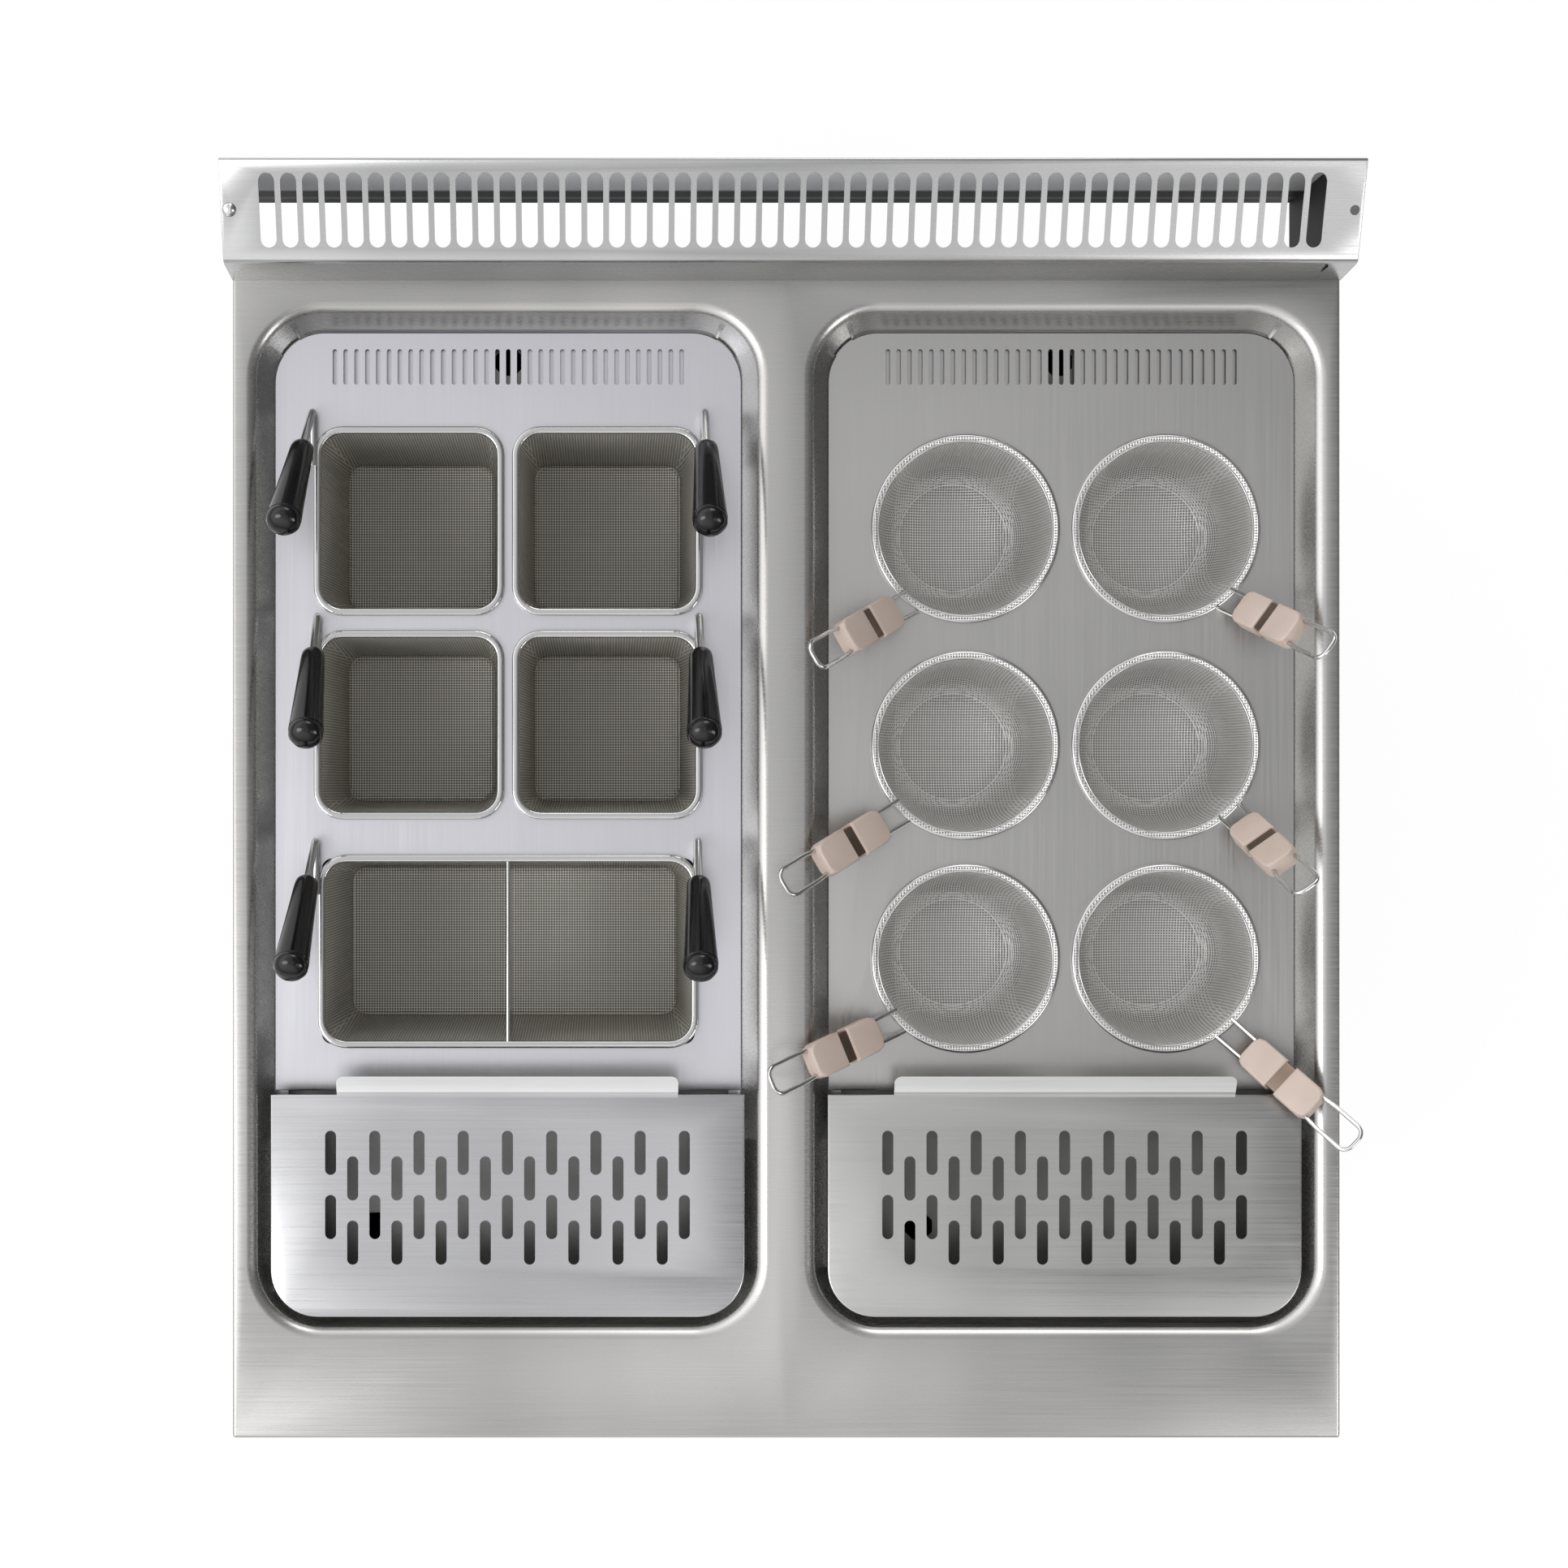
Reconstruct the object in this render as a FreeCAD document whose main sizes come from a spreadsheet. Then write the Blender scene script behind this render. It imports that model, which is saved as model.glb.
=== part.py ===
import FreeCAD, Part
import math
import os
from types import SimpleNamespace

import Sketcher
from FreeCAD import Placement, Rotation, Vector

# Two-well pasta cooker with lift-out baskets and noodle strainers. Millimetres, +X to the right,
# +Y to the rear, +Z up, origin on the floor under the middle of the footprint.
doc = FreeCAD.newDocument("pasta_cooker")
sheet = doc.addObject("Spreadsheet::Sheet", "dimensions")
pieces = []

# Driving dimensions
DRIVING = (
    ("unit_width", 800, "overall width"),
    ("unit_depth", 908, "overall depth, front edge to hood rear"),
    ("worktop_height", 850, "floor to worktop"),
    ("top_sheet", 2, "worktop sheet"),
    ("casing_sheet", 1.5, "sheet of panels, tanks and hood"),
    ("apron_height", 45, "folded edge of the worktop"),
    ("hood_depth", 72, "flue hood, front to rear"),
    ("hood_rise", 100, "hood rear edge above the worktop"),
    ("hood_front_rise", 64, "hood front edge above the worktop"),
    ("hood_lean", 4, "backward lean of the hood front"),
    ("hood_skirt", 90, "hood walls below the worktop"),
    ("hood_slot_width", 11.2, "width of a hood slot"),
    ("hood_slot_length", 48.6, "plan length of a hood slot"),
    ("hood_slot_pitch", 15.3, "pitch of the hood slots"),
    ("hood_slot_inset", 9.6, "plan distance from the front fold to a slot"),
    ("hood_slot_count", 49, "number of hood slots"),
    ("hood_hole_radius", 3.3, "screw hole in the hood"),
    ("hood_hole_inset", 6, "screw hole from the hood end"),
    ("well_centre", 201.6, "well centre from the middle"),
    ("well_width", 366, "well mouth, side to side"),
    ("well_length", 738.5, "well mouth, front to rear"),
    ("well_corner", 49, "well mouth corner radius"),
    ("well_front", 77, "worktop front edge to the well mouth"),
    ("well_depth", 27, "worktop to the ledge that carries the plates"),
    ("well_draft", 13.5, "how far the sloped wall leans in"),
    ("well_lip", 4, "rolled edge of the well mouth"),
    ("ledge_width", 9, "ledge round the tank opening"),
    ("pan_depth", 42, "worktop to the overflow shelf"),
    ("tank_width", 306, "deep tank inside"),
    ("tank_front", -195, "front wall of the deep tank"),
    ("tank_rear", 292, "rear wall of the deep tank"),
    ("tank_depth", 270, "worktop to the tank floor"),
    ("tank_corner", 30, "deep tank corner radius"),
    ("tank_floor_radius", 12, "radius between tank wall and floor"),
    ("trough_depth", 75, "worktop to the trough floor"),
    ("trough_front", -345, "front wall of the trough"),
    ("dam_width", 14, "dam between trough and tank"),
    ("overflow_radius", 11, "overflow hole"),
    ("overflow_y", 328, "overflow hole position"),
    ("outlet_radius", 18, "tank outlet hole"),
    ("outlet_y", -150, "tank outlet position"),
    ("trough_drain_y", -310, "trough drain position"),
    ("trough_drain_x", -100, "trough drain from the tank centre line"),
    ("plate_sheet", 2, "sheet of the lift-out plates"),
    ("plate_width", 339, "holder plate width"),
    ("plate_front", -205, "holder plate front edge"),
    ("plate_gap", 1.1, "play between plate and sloped wall"),
    ("plate_corner", 36, "holder plate rear corner radius"),
    ("plate_fold", 12, "front fold of the holder plate"),
    ("vent_count", 33, "vent slots in a holder plate"),
    ("vent_pitch", 7.9, "pitch of the vent slots"),
    ("vent_width", 3.3, "width of a vent slot"),
    ("vent_length", 26, "length of a vent slot"),
    ("vent_y", 322.5, "centre line of the vent slots"),
    ("drain_width", 343, "drain plate width"),
    ("drain_length", 161, "drain plate length"),
    ("drain_rise", 22, "drain plate top above the ledge"),
    ("drain_corner", 34, "drain plate front corner radius"),
    ("drain_edge_gap", 1.5, "drain plate behind the holder plate front, in plan"),
    ("drain_slot_width", 8, "width of a drain slot"),
    ("drain_slot_length", 32, "length of a drain slot"),
    ("drain_pitch", 32, "pitch of the drain slots in one row"),
    ("drain_columns", 9, "slot columns in the longer rows"),
    ("drain_row_gap", 46.5, "first to second slot of a column"),
    ("drain_stagger", 18.5, "offset of every second column"),
    ("drain_first_row", 42, "first slot centre from the plate rear edge"),
    ("tab_width", 247, "grip tab width"),
    ("tab_reach", 14, "grip tab reach towards the rear"),
    ("tab_rise", 11, "grip tab rise"),
    ("basket_width", 139, "small basket rim, side to side"),
    ("basket_length", 138, "basket rim, front to rear"),
    ("basket_corner", 21, "basket rim corner radius"),
    ("basket_rim", 5.5, "width of the basket rim band"),
    ("basket_rim_height", 4, "height of the basket rim band"),
    ("basket_wall", 1.2, "basket mesh thickness"),
    ("basket_depth", 188, "basket depth below the plate"),
    ("basket_draft", 6.5, "how far the basket walls lean in"),
    ("basket_spacing", 144.5, "small baskets, centre to centre"),
    ("big_basket_width", 277.5, "divided basket rim, side to side"),
    ("big_basket_length", 141, "divided basket rim, front to rear"),
    ("divider_sheet", 3, "divider of the big basket"),
    ("basket_rear_y", 210, "rear basket row"),
    ("basket_middle_y", 61.5, "middle basket row"),
    ("basket_front_y", -103.5, "front basket row"),
    ("basket_play", 2, "play between a basket and its hole"),
    ("rod_radius", 3, "basket handle rod"),
    ("rod_bend", 8, "bend of the handle rod"),
    ("rod_rear", 14, "rod vertex behind the basket rim"),
    ("rod_rise", 50, "bare rod between the vertex and the grip"),
    ("grip_lift", 48, "slope of a basket grip in degrees"),
    ("grip_length", 92, "basket grip length"),
    ("grip_neck", 8.5, "grip radius at its neck"),
    ("grip_end", 13, "grip radius near its end"),
    ("strainer_radius", 69, "strainer rim, outside"),
    ("strainer_wire", 2, "half height of the strainer rim"),
    ("strainer_depth", 112, "strainer depth below the plate"),
    ("strainer_spacing", 146, "strainers, side to side"),
    ("strainer_shift", 3, "strainer group from the well centre"),
    ("strainer_rear_y", 204.5, "rear strainer row"),
    ("strainer_middle_y", 46.5, "middle strainer row"),
    ("strainer_front_y", -108.7, "front strainer row"),
    ("handle_length", 128, "strainer handle beyond the rim"),
    ("handle_wire", 1.6, "strainer handle wire radius"),
    ("clamp_length", 66, "strainer grip length"),
    ("clamp_width", 26, "strainer grip width"),
    ("clamp_height", 13, "strainer grip thickness"),
    ("clamp_centre", 56, "strainer grip centre from the rim"),
    ("cabinet_bottom", 150, "floor to the cabinet"),
    ("cabinet_front", -402, "front of the cabinet frame"),
    ("base_height", 25, "height of the base tray"),
    ("frame_post", 30, "width of a frame post"),
    ("frame_depth", 25, "depth of the front frame"),
    ("frame_top", 698, "top of the front frame"),
    ("panel_bottom", 704, "bottom of the control panel"),
    ("panel_bottom_y", -424, "front of the control panel at its bottom"),
    ("panel_top_y", -395, "front of the control panel at its top"),
    ("panel_tray", 20, "depth of the control panel tray"),
    ("knob_offset", 60, "knob from the well centre line"),
    ("knob_radius", 23, "knob radius"),
    ("knob_height", 26, "knob height"),
    ("spindle_radius", 4, "knob spindle"),
    ("running_gap", 0.05, "radial clearance of spindles and hinge pins"),
    ("door_bottom", 172, "bottom of the doors"),
    ("door_top", 690, "top of the doors"),
    ("door_thickness", 18, "door thickness"),
    ("door_gap", 4, "door to frame"),
    ("door_side_gap", 1, "door to its neighbour and to the side"),
    ("hinge_inset", 5.5, "hinge axis from the cabinet side"),
    ("pull_reach", 18, "door pull, how far it stands out"),
    ("foot_x", 340, "feet from the middle"),
    ("foot_front_y", -350, "front feet"),
    ("foot_rear_y", 330, "rear feet"),
    ("foot_shoulder", 45, "height of the adjustable foot"),
    ("leg_radius", 25, "leg tube radius"),
    ("stem_radius", 20, "foot stem radius"),
    ("fill_z", 741, "height of the filling pipes"),
    ("feed_z", 715, "height of the feed pipe"),
    ("feed_x", 377, "feed pipe along the right side"),
    ("inlet_x", 300, "water inlet"),
    ("pipe_radius", 8, "water pipe radius"),
    ("pipe_wall", 1, "pipe wall"),
    ("inlet_radius", 13.2, "water inlet thread radius"),
    ("service_reach", 22, "how far inlets stand out of the back panel"),
    ("branch_z", 480, "height of the drain branch"),
    ("valve_y", -240, "drain valve position"),
    ("waste_radius", 16, "drain pipe radius"),
    ("manifold_z", 260, "height of the drain manifold"),
    ("manifold_radius", 20, "cross tubes of the manifold"),
    ("outlet_tube_radius", 25, "waste outlet radius"),
    ("outlet_tube_end", 425, "end of the waste outlet"),
    ("outlet_spigot", 42, "length of the waste spigot"),
    ("lever_length", 110, "drain lever length"),
    ("heater_z", 605, "height of the heating elements"),
    ("heater_radius", 4.25, "heating element radius"),
    ("heater_reach", 90, "outer legs of a heating element"),
    ("gland_radius", 11, "cable entry bore radius"),
)


class Size:
    """A number that keeps the sheet formula it comes from."""

    def __init__(self, value, text):
        self.value = float(value)
        self.text = text

    def joined(self, sign, other, value, swap=False):
        other_text = other.text if isinstance(other, Size) else repr(float(other))
        left, right = (other_text, self.text) if swap else (self.text, other_text)
        return Size(value, "(" + left + " " + sign + " " + right + ")")

    def __add__(self, other):
        return self.joined("+", other, self.value + float(other))

    def __radd__(self, other):
        return self.joined("+", other, self.value + float(other), True)

    def __sub__(self, other):
        return self.joined("-", other, self.value - float(other))

    def __rsub__(self, other):
        return self.joined("-", other, float(other) - self.value, True)

    def __mul__(self, other):
        return self.joined("*", other, self.value * float(other))

    def __rmul__(self, other):
        return self.joined("*", other, self.value * float(other), True)

    def __truediv__(self, other):
        return self.joined("/", other, self.value / float(other))

    def __neg__(self):
        return Size(-self.value, "(0 - " + self.text + ")")

    def __float__(self):
        return self.value


d = SimpleNamespace()
for row, (alias, number, meaning) in enumerate(DRIVING, start=1):
    sheet.set("A%d" % row, meaning)
    sheet.set("B%d" % row, str(number))
    sheet.setAlias("B%d" % row, alias)
    setattr(d, alias, Size(number, "dimensions." + alias))
doc.recompute()


# Small tools for sketches, features and bent wire
def bind(obj, prop, size):
    if isinstance(size, Size):
        obj.setExpression(prop, size.text)
    else:
        setattr(obj, prop, size)


def place(obj, x=0, y=0, z=0, turn=None):
    obj.Placement = Placement(Vector(float(x), float(y), float(z)), turn or Rotation())
    for letter, size in (("x", x), ("y", y), ("z", z)):
        if isinstance(size, Size):
            obj.setExpression("Placement.Base." + letter, size.text)
    return obj


def body(label):
    made = doc.addObject("PartDesign::Body", label)
    made.Label = label
    return made


def keep(obj, label):
    """Marks an object as a finished piece under its own name."""
    obj.Label = label
    pieces.append(obj)
    return obj


def sketch(owner, role="XY_Plane", level=0):
    made = owner.newObject("Sketcher::SketchObject", owner.Name + "_sketch")
    support = next(f for f in owner.Origin.OriginFeatures if f.Role == role)
    made.AttachmentSupport = (support, "")
    made.MapMode = "FlatFace"
    if isinstance(level, Size):
        made.setExpression("AttachmentOffset.Base.z", level.text)
    else:
        made.AttachmentOffset = Placement(Vector(0, 0, level), Rotation())
    return made


def pin(sk, geometry, point, x, y):
    for kind, size, axis in (("DistanceX", x, -2), ("DistanceY", y, -1)):
        if not isinstance(size, Size) and size == 0:
            sk.addConstraint(Sketcher.Constraint("PointOnObject", geometry, point, axis))
            continue
        number = sk.addConstraint(Sketcher.Constraint(kind, -1, 1, geometry, point, float(size)))
        if isinstance(size, Size):
            sk.setExpression("Constraints[%d]" % number, size.text)


def set_radius(sk, geometry, size):
    number = sk.addConstraint(Sketcher.Constraint("Radius", geometry, float(size)))
    if isinstance(size, Size):
        sk.setExpression("Constraints[%d]" % number, size.text)


def polygon(sk, points):
    flat = [Vector(float(x), float(y), 0) for x, y in points]
    count = len(flat)
    lines = [
        sk.addGeometry(Part.LineSegment(flat[i], flat[(i + 1) % count]), False)
        for i in range(count)
    ]
    for i in range(count):
        sk.addConstraint(Sketcher.Constraint("Coincident", lines[i], 2, lines[(i + 1) % count], 1))
    for line, (x, y) in zip(lines, points):
        pin(sk, line, 1, x, y)
    return sk


def rectangle(sk, x0, y0, x1, y1):
    return polygon(sk, ((x0, y0), (x1, y0), (x1, y1), (x0, y1)))


def octagon(sk, x, y, half_width, half_length):
    """A slot with cut corners, for the many small openings."""
    cut_x = half_width * 0.42
    cut_y = half_length - half_width * 0.6
    return polygon(sk, (
        (x - cut_x, y - half_length), (x + cut_x, y - half_length),
        (x + half_width, y - cut_y), (x + half_width, y + cut_y),
        (x + cut_x, y + half_length), (x - cut_x, y + half_length),
        (x - half_width, y + cut_y), (x - half_width, y - cut_y)))


def many_sided(sk, x, y, radius, sides=8):
    """A round outline in a few flats, for holes and tubes that nothing turns in."""
    turns = [math.tau * (i + 0.5) / sides for i in range(sides)]
    return polygon(sk, [(x + radius * math.cos(a), y + radius * math.sin(a)) for a in turns])


def circle(sk, x, y, radius):
    made = sk.addGeometry(Part.Circle(Vector(float(x), float(y), 0), Vector(0, 0, 1), float(radius)))
    pin(sk, made, 3, x, y)
    set_radius(sk, made, radius)
    return sk


def round_rectangle(sk, x0, y0, x1, y1, radius, flats=2, front=True, rear=True):
    """A rectangle whose front or rear corners are rounded in a few flats."""
    points = []
    for x, y, out_x, out_y, quarter in ((x1, y1, -1, -1, 0), (x0, y1, 1, -1, 1), (x0, y0, 1, 1, 2), (x1, y0, -1, 1, 3)):
        if not (rear if quarter < 2 else front):
            points.append((x, y))
            continue
        for step in range(flats + 1):
            turn = math.pi / 2 * (quarter + step / flats)
            points.append((x + radius * (out_x + math.cos(turn)), y + radius * (out_y + math.sin(turn))))
    return polygon(sk, points)


def feature(owner, kind, sk, length=None, reverse=False, taper=None, both=False):
    made = owner.newObject("PartDesign::" + kind, owner.Name + "_" + kind.lower())
    made.Profile = sk
    made.Reversed = reverse
    if length is not None:
        bind(made, "Length", length)
    if both:
        made.Midplane = True
    if taper is not None:
        bind(made, "TaperAngle", taper)
    return made


def pad(owner, sk, length, **how):
    return feature(owner, "Pad", sk, length, **how)


def pocket(owner, sk, length, **how):
    return feature(owner, "Pocket", sk, length, **how)


def loft(owner, kind, *sketches):
    """Straight walls between sketches of like outlines."""
    made = owner.newObject("PartDesign::" + kind, owner.Name + "_" + kind.lower())
    made.Profile = sketches[0]
    made.Sections = [(one, [""]) for one in sketches[1:]]
    made.Ruled = True
    return made


def dress(owner, kind, base, size, pick):
    """Fillet or Chamfer on the edges that pick says yes to."""
    doc.recompute()
    names = ["Edge%d" % (i + 1) for i, edge in enumerate(base.Shape.Edges) if pick(edge.BoundBox, edge)]
    made = owner.newObject("PartDesign::" + kind, owner.Name + "_" + kind.lower())
    made.Base = (base, names)
    bind(made, "Radius" if kind == "Fillet" else "Size", size)
    return made


def hollow(owner, base, wall, pick):
    """Turns a solid into a folded sheet shell, open at the faces that pick says yes to."""
    doc.recompute()
    names = ["Face%d" % (i + 1) for i, face in enumerate(base.Shape.Faces) if pick(face.BoundBox, face)]
    made = owner.newObject("PartDesign::Thickness", owner.Name + "_thickness")
    made.Base = (base, names)
    bind(made, "Value", wall)
    made.Reversed = True
    made.Mode = 0
    made.Join = 0
    return made


def repeat(owner, originals, sk, axis, pitch, count):
    doc.recompute()
    made = owner.newObject("PartDesign::LinearPattern", owner.Name + "_pattern")
    made.Originals = originals
    made.Direction = (sk, [axis])
    made.Mode = "Spacing"
    bind(made, "Offset", pitch)
    bind(made, "Occurrences", count)
    owner.Tip = made
    return made


def near(a, b):
    return abs(float(a) - float(b)) < 0.02


def flat_at(low, high, value):
    return near(low, value) and near(high, value)


def primitive(kind, label, sizes, x=0, y=0, z=0, turn=None):
    made = doc.addObject("Part::" + kind, label)
    made.Label = label
    for prop, size in sizes.items():
        bind(made, prop, size)
    return place(made, x, y, z, turn)


def joined(kind, label, base, *tools):
    """Fuses or cuts document objects into one."""
    if kind == "Fuse":
        made = doc.addObject("Part::MultiFuse", label)
        made.Shapes = [base] + list(tools)
        made.Refine = False
    else:
        made = doc.addObject("Part::Cut", label)
        made.Base = base
        made.Tool = tools[0]
    made.Label = label
    return made


def prism(label, radius, length, x=0, y=0, z=0, turn=None, sides=8):
    """A bar of few sides."""
    return primitive("Prism", label, {"Polygon": sides, "Circumradius": radius, "Height": length}, x, y, z,
                     (turn or Rotation()) * Rotation(Vector(0, 0, 1), 180 / sides))


def turned(label, profile, sides=12):
    """A turned form in a few flats, through rings of the given radius and height."""
    rings = []
    for number, (radius, height) in enumerate(profile):
        ring = doc.addObject("Part::RegularPolygon", "%s_ring_%d" % (label, number))
        ring.Polygon = sides
        bind(ring, "Circumradius", radius)
        rings.append(place(ring, 0, 0, height, Rotation(Vector(0, 0, 1), 180 / sides)))
    made = doc.addObject("Part::Loft", label)
    made.Label = label
    made.Sections = rings
    made.Solid = True
    made.Ruled = True
    return made


def custom(label, shape):
    made = doc.addObject("Part::Feature", label)
    made.Label = label
    made.Shape = shape
    return made


def bent_path(points, bend):
    """Straight runs with each bend cut off by one flat."""
    path = [points[0]]
    for before, corner, after in zip(points, points[1:], points[2:]):
        way_in = (corner - before).normalize()
        way_out = (after - corner).normalize()
        turn = way_in.getAngle(way_out)
        reach = bend * math.tan(turn / 2) * 0.8
        path += [corner - way_in * reach, corner + way_out * reach]
    return Part.makePolygon(path + [points[-1]])


def bent_rod(points, bend, radius, sides=6):
    """A rod of few sides along a bent path, mitred where it turns."""
    path = bent_path(points, bend)
    ahead = (points[1] - points[0]).normalize()
    across = ahead.cross(Vector(0, 0, 1))
    if across.Length < 0.1:
        across = Vector(1, 0, 0)
    across.normalize()
    up = ahead.cross(across)
    ring = []
    for i in range(sides + 1):
        angle = 2 * math.pi * (i % sides) / sides
        ring.append(points[0] + across * radius * math.cos(angle) + up * radius * math.sin(angle))
    return path.makePipeShell([Part.makePolygon(ring)], True, False, 1)


# Places that several pieces share
front_y = -d.unit_depth / 2
rear_y = d.unit_depth / 2
half_width = d.unit_width / 2
junction_y = rear_y - d.hood_depth
top_z = d.worktop_height
ledge_z = top_z - d.well_depth
plate_z = ledge_z + d.plate_sheet
side_inner = half_width - d.casing_sheet
well_y0 = front_y + d.well_front
well_y1 = well_y0 + d.well_length
opening_inset = d.well_draft + d.ledge_width
base_z = d.cabinet_bottom + d.casing_sheet
base_top = base_z + d.base_height
apron_z = top_z - d.apron_height
panel_y = (d.panel_bottom_y + d.panel_top_y) / 2
panel_z = (d.panel_bottom + apron_z) / 2


# Worktop: one pressed sheet with folded edges and two drafted wells
def make_worktop():
    top = body("worktop")
    block = pad(top, rectangle(sketch(top, level=top_z), -half_width, front_y, half_width, junction_y),
                d.apron_height, reverse=True)
    rounded = dress(top, "Fillet", block, d.top_sheet * 1.25, lambda box, edge:
                    flat_at(box.ZMin, box.ZMax, top_z) and not flat_at(box.YMin, box.YMax, junction_y)
                    or edge.BoundBox.ZLength > 1 and flat_at(box.YMin, box.YMax, front_y))
    hollow(top, rounded, d.top_sheet, lambda box, face: flat_at(box.ZMin, box.ZMax, apron_z))
    under = ledge_z - d.top_sheet
    foot = d.well_draft * (d.well_depth + d.top_sheet) / d.well_depth - d.top_sheet
    for side in (-1, 1):
        def ring(level, inset):
            return round_rectangle(sketch(top, level=level), d.well_centre * side - d.well_width / 2 + inset,
                                   well_y0 + inset, d.well_centre * side + d.well_width / 2 - inset,
                                   well_y1 - inset, d.well_corner - inset, 3)

        loft(top, "AdditiveLoft", ring(top_z, -d.top_sheet), ring(under, foot))
        loft(top, "SubtractiveLoft", ring(top_z, 0), ring(ledge_z, d.well_draft))
        opened = pocket(top, ring(ledge_z, opening_inset), d.top_sheet * 2)
    dress(top, "Chamfer", opened, d.well_lip / 2, lambda box, edge:
          flat_at(box.ZMin, box.ZMax, top_z) and box.YMin > float(well_y0) - 1
          and box.YMax < float(well_y1) + 1)
    back_fold = sketch(top, level=apron_z)
    rectangle(back_fold, d.top_sheet - half_width, front_y + d.top_sheet / 2,
              half_width - d.top_sheet, d.panel_top_y - 2)
    pad(top, back_fold, d.top_sheet)
    return keep(top, "worktop")


# Tank under each well: a pan with an overflow shelf, and below it the deep boiling tank and a front trough
def make_tank(label, centre):
    wall = d.casing_sheet
    under = ledge_z - d.top_sheet
    half = d.well_width / 2 - opening_inset + 2
    shelf = top_z - d.pan_depth
    floor = top_z - d.tank_depth
    trough = top_z - d.trough_depth
    dam = d.tank_front - d.dam_width
    deep_half = d.tank_width / 2
    pan = body(label + "_pan")
    deep = body(label + "_deep")
    front = body(label + "_trough")
    for grow, make in ((wall, pad), (0, pocket)):
        down = make is pad
        make(pan, round_rectangle(sketch(pan, level=under), -half - grow, well_y0 + opening_inset - 2 - grow,
                                  half + grow, well_y1 - opening_inset + 2 + grow,
                                  d.well_corner - opening_inset + 2 + grow, 3),
             under - shelf + grow, reverse=down)
        make(front, round_rectangle(sketch(front, level=shelf - wall), -deep_half - grow, d.trough_front - grow,
                                    deep_half + grow, dam + grow, d.tank_corner / 2 + grow, 2),
             shelf - wall - trough + grow, reverse=down)
        last = make(deep, round_rectangle(sketch(deep, level=shelf - wall), -deep_half - grow,
                                          d.tank_front - grow, deep_half + grow, d.tank_rear + grow,
                                          d.tank_corner + grow),
                    shelf - wall - floor + grow, reverse=down)
    pocket(pan, round_rectangle(sketch(pan, level=shelf), -deep_half, d.tank_front, deep_half, d.tank_rear,
                                d.tank_corner), wall * 2)
    pocket(pan, round_rectangle(sketch(pan, level=shelf), -deep_half, d.trough_front, deep_half, dam,
                                d.tank_corner / 2, 2), wall * 2)
    pocket(pan, many_sided(sketch(pan, level=shelf), 0, d.overflow_y, d.overflow_radius), wall * 2)
    pocket(front, many_sided(sketch(front, level=trough), d.trough_drain_x, d.trough_drain_y,
                             d.overflow_radius), wall * 2)
    inside = dress(deep, "Chamfer", last, d.tank_floor_radius * 0.6, lambda box, edge:
                   flat_at(box.ZMin, box.ZMax, floor))
    dress(deep, "Chamfer", inside, d.tank_floor_radius * 0.6 + wall, lambda box, edge:
          flat_at(box.ZMin, box.ZMax, floor - wall))
    pocket(deep, many_sided(sketch(deep, level=floor), 0, d.outlet_y, d.outlet_radius, 12), wall * 2)
    legs = sketch(deep, "XZ_Plane", -d.tank_rear + wall)
    for side in (-1, 1):
        many_sided(legs, d.heater_reach * side, d.heater_z, d.heater_radius + 0.75)
    pocket(deep, legs, wall * 4)
    nozzle = sketch(deep, "XZ_Plane", -d.tank_front + wall * 2)
    pocket(deep, many_sided(nozzle, d.knob_offset, d.fill_z, d.pipe_radius - d.pipe_wall * 2), wall * 4)
    tank = doc.addObject("Part::Compound", label)
    tank.Links = [pan, deep, front]
    return keep(place(tank, x=centre), label)


# Flue hood: folded sheet with end walls and a row of round-ended slots in its slanted top
def make_hood():
    hood = body("flue_hood")
    outline = sketch(hood, "YZ_Plane")
    bottom = top_z - d.hood_skirt
    polygon(outline, ((junction_y, bottom), (junction_y, top_z),
                      (junction_y + d.hood_lean, top_z + d.hood_front_rise),
                      (rear_y, top_z + d.hood_rise), (rear_y, bottom)))
    block = pad(hood, outline, d.unit_width, both=True)
    folds = dress(hood, "Fillet", block, d.casing_sheet * 1.5, lambda box, edge:
                  box.XLength > float(d.unit_width) - 1 and box.ZMin > float(top_z) + 1)
    hollow(hood, folds, d.casing_sheet, lambda box, face: flat_at(box.ZMin, box.ZMax, bottom))
    cut = sketch(hood, level=top_z + d.hood_rise)
    centre_y = junction_y + d.hood_lean + d.hood_slot_inset + d.hood_slot_length / 2
    first = d.hood_slot_pitch * (d.hood_slot_count - 1) / -2
    octagon(cut, first, centre_y, d.hood_slot_width / 2, d.hood_slot_length / 2)
    one = pocket(hood, cut, d.hood_rise)
    repeat(hood, [one], cut, "H_Axis", d.hood_slot_pitch, d.hood_slot_count)
    holes = sketch(hood, level=top_z + d.hood_rise)
    for side in (-1, 1):
        many_sided(holes, (half_width - d.hood_hole_inset) * side,
                   junction_y + d.hood_lean + d.hood_depth / 2 - 2, d.hood_hole_radius)
    hood.Tip = pocket(hood, holes, d.hood_rise)
    return keep(hood, "flue_hood")


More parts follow.
